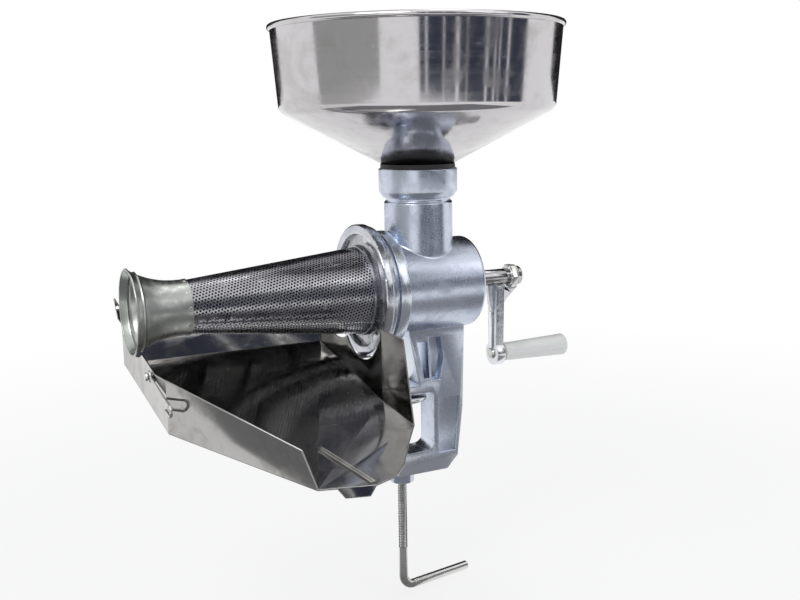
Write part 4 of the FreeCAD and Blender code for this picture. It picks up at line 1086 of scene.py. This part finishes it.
@dataclass
class Studio:
    """Pale floor, soft lamps, dark cards that only reflections see, and the camera."""

    eye: tuple[float, float, float] = (-0.37366, -0.76217, 0.23447)
    yaw: float = 26.164
    pitch: float = -10.319
    roll: float = -0.919
    lens: float = 46.35
    floor_z: float = -0.1826
    white: Colour = (1.0, 1.0, 1.0)
    soot: Colour = (0.018, 0.018, 0.02)
    navy: Colour = (0.045, 0.052, 0.08)
    strips: tuple[tuple[float, float], ...] = (
        (199.0, 0.05), (186.0, 0.03), (176.0, 0.05), (168.0, 0.02), (152.0, 0.06),
        (141.0, 0.03), (133.0, 0.06))

    def heading(self, azimuth: float, elevation: float) -> Vector:
        """Direction from angles in degrees: azimuth 0 is +Y and grows towards +X."""
        a, e = math.radians(azimuth), math.radians(elevation)
        return Vector((math.sin(a) * math.cos(e), math.cos(a) * math.cos(e), math.sin(e)))

    def camera(self) -> None:
        """Set up the camera at the photograph's place."""
        data = bpy.data.cameras.new("photo_camera")
        data.sensor_width = 36.0
        data.lens = self.lens
        data.clip_start = 0.01
        data.clip_end = 50.0
        camera = bpy.data.objects.new("photo_camera", data)
        ahead = self.heading(self.yaw, self.pitch)
        right = self.heading(self.yaw + 90.0, 0.0)
        above = right.cross(ahead)
        lean = math.radians(self.roll)
        side = right * math.cos(lean) + above * math.sin(lean)
        top = above * math.cos(lean) - right * math.sin(lean)
        turn = Matrix((side, top, -ahead)).transposed().to_4x4()
        camera.matrix_world = Matrix.Translation(self.eye) @ turn
        bpy.context.scene.collection.objects.link(camera)
        bpy.context.scene.camera = camera

    def seen_ray(self, bench: Bench) -> bpy.types.NodeSocket:
        """Tell rays that show the background: camera, glossy and transmission rays."""
        path = bench.add("ShaderNodeLightPath").outputs
        shown = bench.math("MAXIMUM", path["Is Camera Ray"], path["Is Glossy Ray"])
        return bench.math("MAXIMUM", shown, path["Is Transmission Ray"])

    def world(self) -> None:
        """Give a white background and a dimmer, even light from all round."""
        world = bpy.data.worlds.new("studio")
        world.use_nodes = True
        world.node_tree.nodes.clear()
        bench = Bench(world.node_tree)
        shown = bench.add("ShaderNodeBackground", {"Color": self.white, "Strength": 1.0})
        light = bench.add("ShaderNodeBackground", {"Color": (0.96, 0.98, 1.0), "Strength": 0.55})
        both = bench.add("ShaderNodeMixShader", {
            0: self.seen_ray(bench), 1: light.outputs[0], 2: shown.outputs[0]})
        bench.add("ShaderNodeOutputWorld", {"Surface": both.outputs[0]})
        bpy.context.scene.world = world

    def floor(self) -> None:
        """Lay a pale floor that fades into the background and keeps the object's shadow."""
        bpy.ops.object.select_all(action="DESELECT")
        bpy.ops.mesh.primitive_plane_add(size=16.0, location=(0.0, 0.0, self.floor_z))
        floor = bpy.context.object
        floor.name = "floor"
        material = bpy.data.materials.new("pale_floor")
        material.use_nodes = True
        material.node_tree.nodes.clear()
        bench = Bench(material.node_tree)
        paint = bench.add("ShaderNodeBsdfDiffuse", {"Color": (0.86, 0.86, 0.86)})
        shown = bench.add("ShaderNodeEmission", {"Color": self.white, "Strength": 1.0})
        place = bench.add("ShaderNodeTexCoord").outputs["Object"]
        away = bench.add("ShaderNodeVectorMath", {0: place}, operation="LENGTH").outputs["Value"]
        fade = bench.between(away, 0.35, 1.3, 0.80, 1.0)
        share = bench.math("MULTIPLY", self.seen_ray(bench), fade)
        both = bench.add("ShaderNodeMixShader", {0: share, 1: paint.outputs[0],
                                                 2: shown.outputs[0]})
        bench.add("ShaderNodeOutputMaterial", {"Surface": both.outputs[0]})
        floor.data.materials.append(material)

    def card(self, name: str, azimuth: float, elevation: float, distance: float,
             size: tuple[float, float], colour: Colour) -> None:
        """Hang a card that only reflections see, facing the object.

        Args:
            name: Name of the card.
            azimuth: Where it hangs, in degrees from +Y towards +X.
            elevation: How high it hangs, in degrees.
            distance: Metres from the object.
            size: Width and height in metres.
            colour: How bright it looks and its tint.
        """
        bpy.ops.object.select_all(action="DESELECT")
        bpy.ops.mesh.primitive_plane_add(size=1.0)
        card = bpy.context.object
        card.name = name
        away = self.heading(azimuth, elevation)
        centre = Vector((-0.02, -0.02, 0.08))
        turn = away.to_track_quat("Z", "Y").to_matrix().to_4x4()
        scale = Matrix.Diagonal((size[0], size[1], 1.0, 1.0))
        card.data.transform(Matrix.Translation(centre + away * distance) @ turn @ scale)
        material = bpy.data.materials.new(name)
        material.use_nodes = True
        material.node_tree.nodes.clear()
        bench = Bench(material.node_tree)
        glow = bench.add("ShaderNodeEmission", {"Color": colour, "Strength": 1.0})
        bench.add("ShaderNodeOutputMaterial", {"Surface": glow.outputs[0]})
        card.data.materials.append(material)
        card.visible_camera = False
        card.visible_diffuse = False
        card.visible_shadow = False
        card.visible_transmission = False
        card.visible_volume_scatter = False

    def lamp(self, name: str, azimuth: float, elevation: float, distance: float,
             size: float, power: float) -> None:
        """Hang a square soft lamp that points at the object."""
        data = bpy.data.lights.new(name, "AREA")
        data.shape = "SQUARE"
        data.size = size
        data.energy = power
        lamp = bpy.data.objects.new(name, data)
        away = self.heading(azimuth, elevation)
        centre = Vector((-0.02, -0.02, 0.08))
        lamp.matrix_world = (Matrix.Translation(centre + away * distance)
                             @ away.to_track_quat("Z", "Y").to_matrix().to_4x4())
        bpy.context.scene.collection.objects.link(lamp)

    def build(self) -> None:
        """Set up the whole studio."""
        self.camera()
        self.world()
        self.floor()
        self.lamp("key", 236.0, 46.0, 1.7, 0.9, 8.5)
        self.lamp("fill", 150.0, 30.0, 2.0, 1.1, 4.0)
        self.lamp("rear", 60.0, 70.0, 1.9, 0.8, 4.0)
        self.card("back", 30.0, 30.0, 2.2, (5.0, 2.4), self.soot)
        self.card("ground", 207.0, -89.0, 0.262, (1.3, 1.3), (0.24, 0.24, 0.25))
        self.card("left", 262.0, 14.0, 2.2, (2.4, 2.0), (0.42, 0.43, 0.42))
        for number, azimuth in enumerate((190.0, 160.0, 130.0)):
            self.card("navy_%d" % number, azimuth, 10.0, 2.2, (1.16, 1.9), self.navy)
        for number, (azimuth, width) in enumerate(self.strips):
            self.card("strip_%d" % number, azimuth, 10.0, 2.1, (width, 1.9), self.white)
        bpy.context.scene.view_settings.view_transform = "Standard"


def main() -> None:
    """Build the studio and every sub-assembly, and log each piece's face count."""
    logging.basicConfig(level=logging.INFO, format="%(message)s")
    Studio().build()
    for assembly in (HopperUnit(), Body(), Strainer(), Crank(), TableClamp(), CatchTray()):
        for piece in assembly.build():
            log.info("%s: %s, %d faces", type(assembly).__name__, piece.name,
                     len(piece.data.polygons))
    bpy.ops.object.select_all(action="DESELECT")


if __name__ == "__main__":
    main()
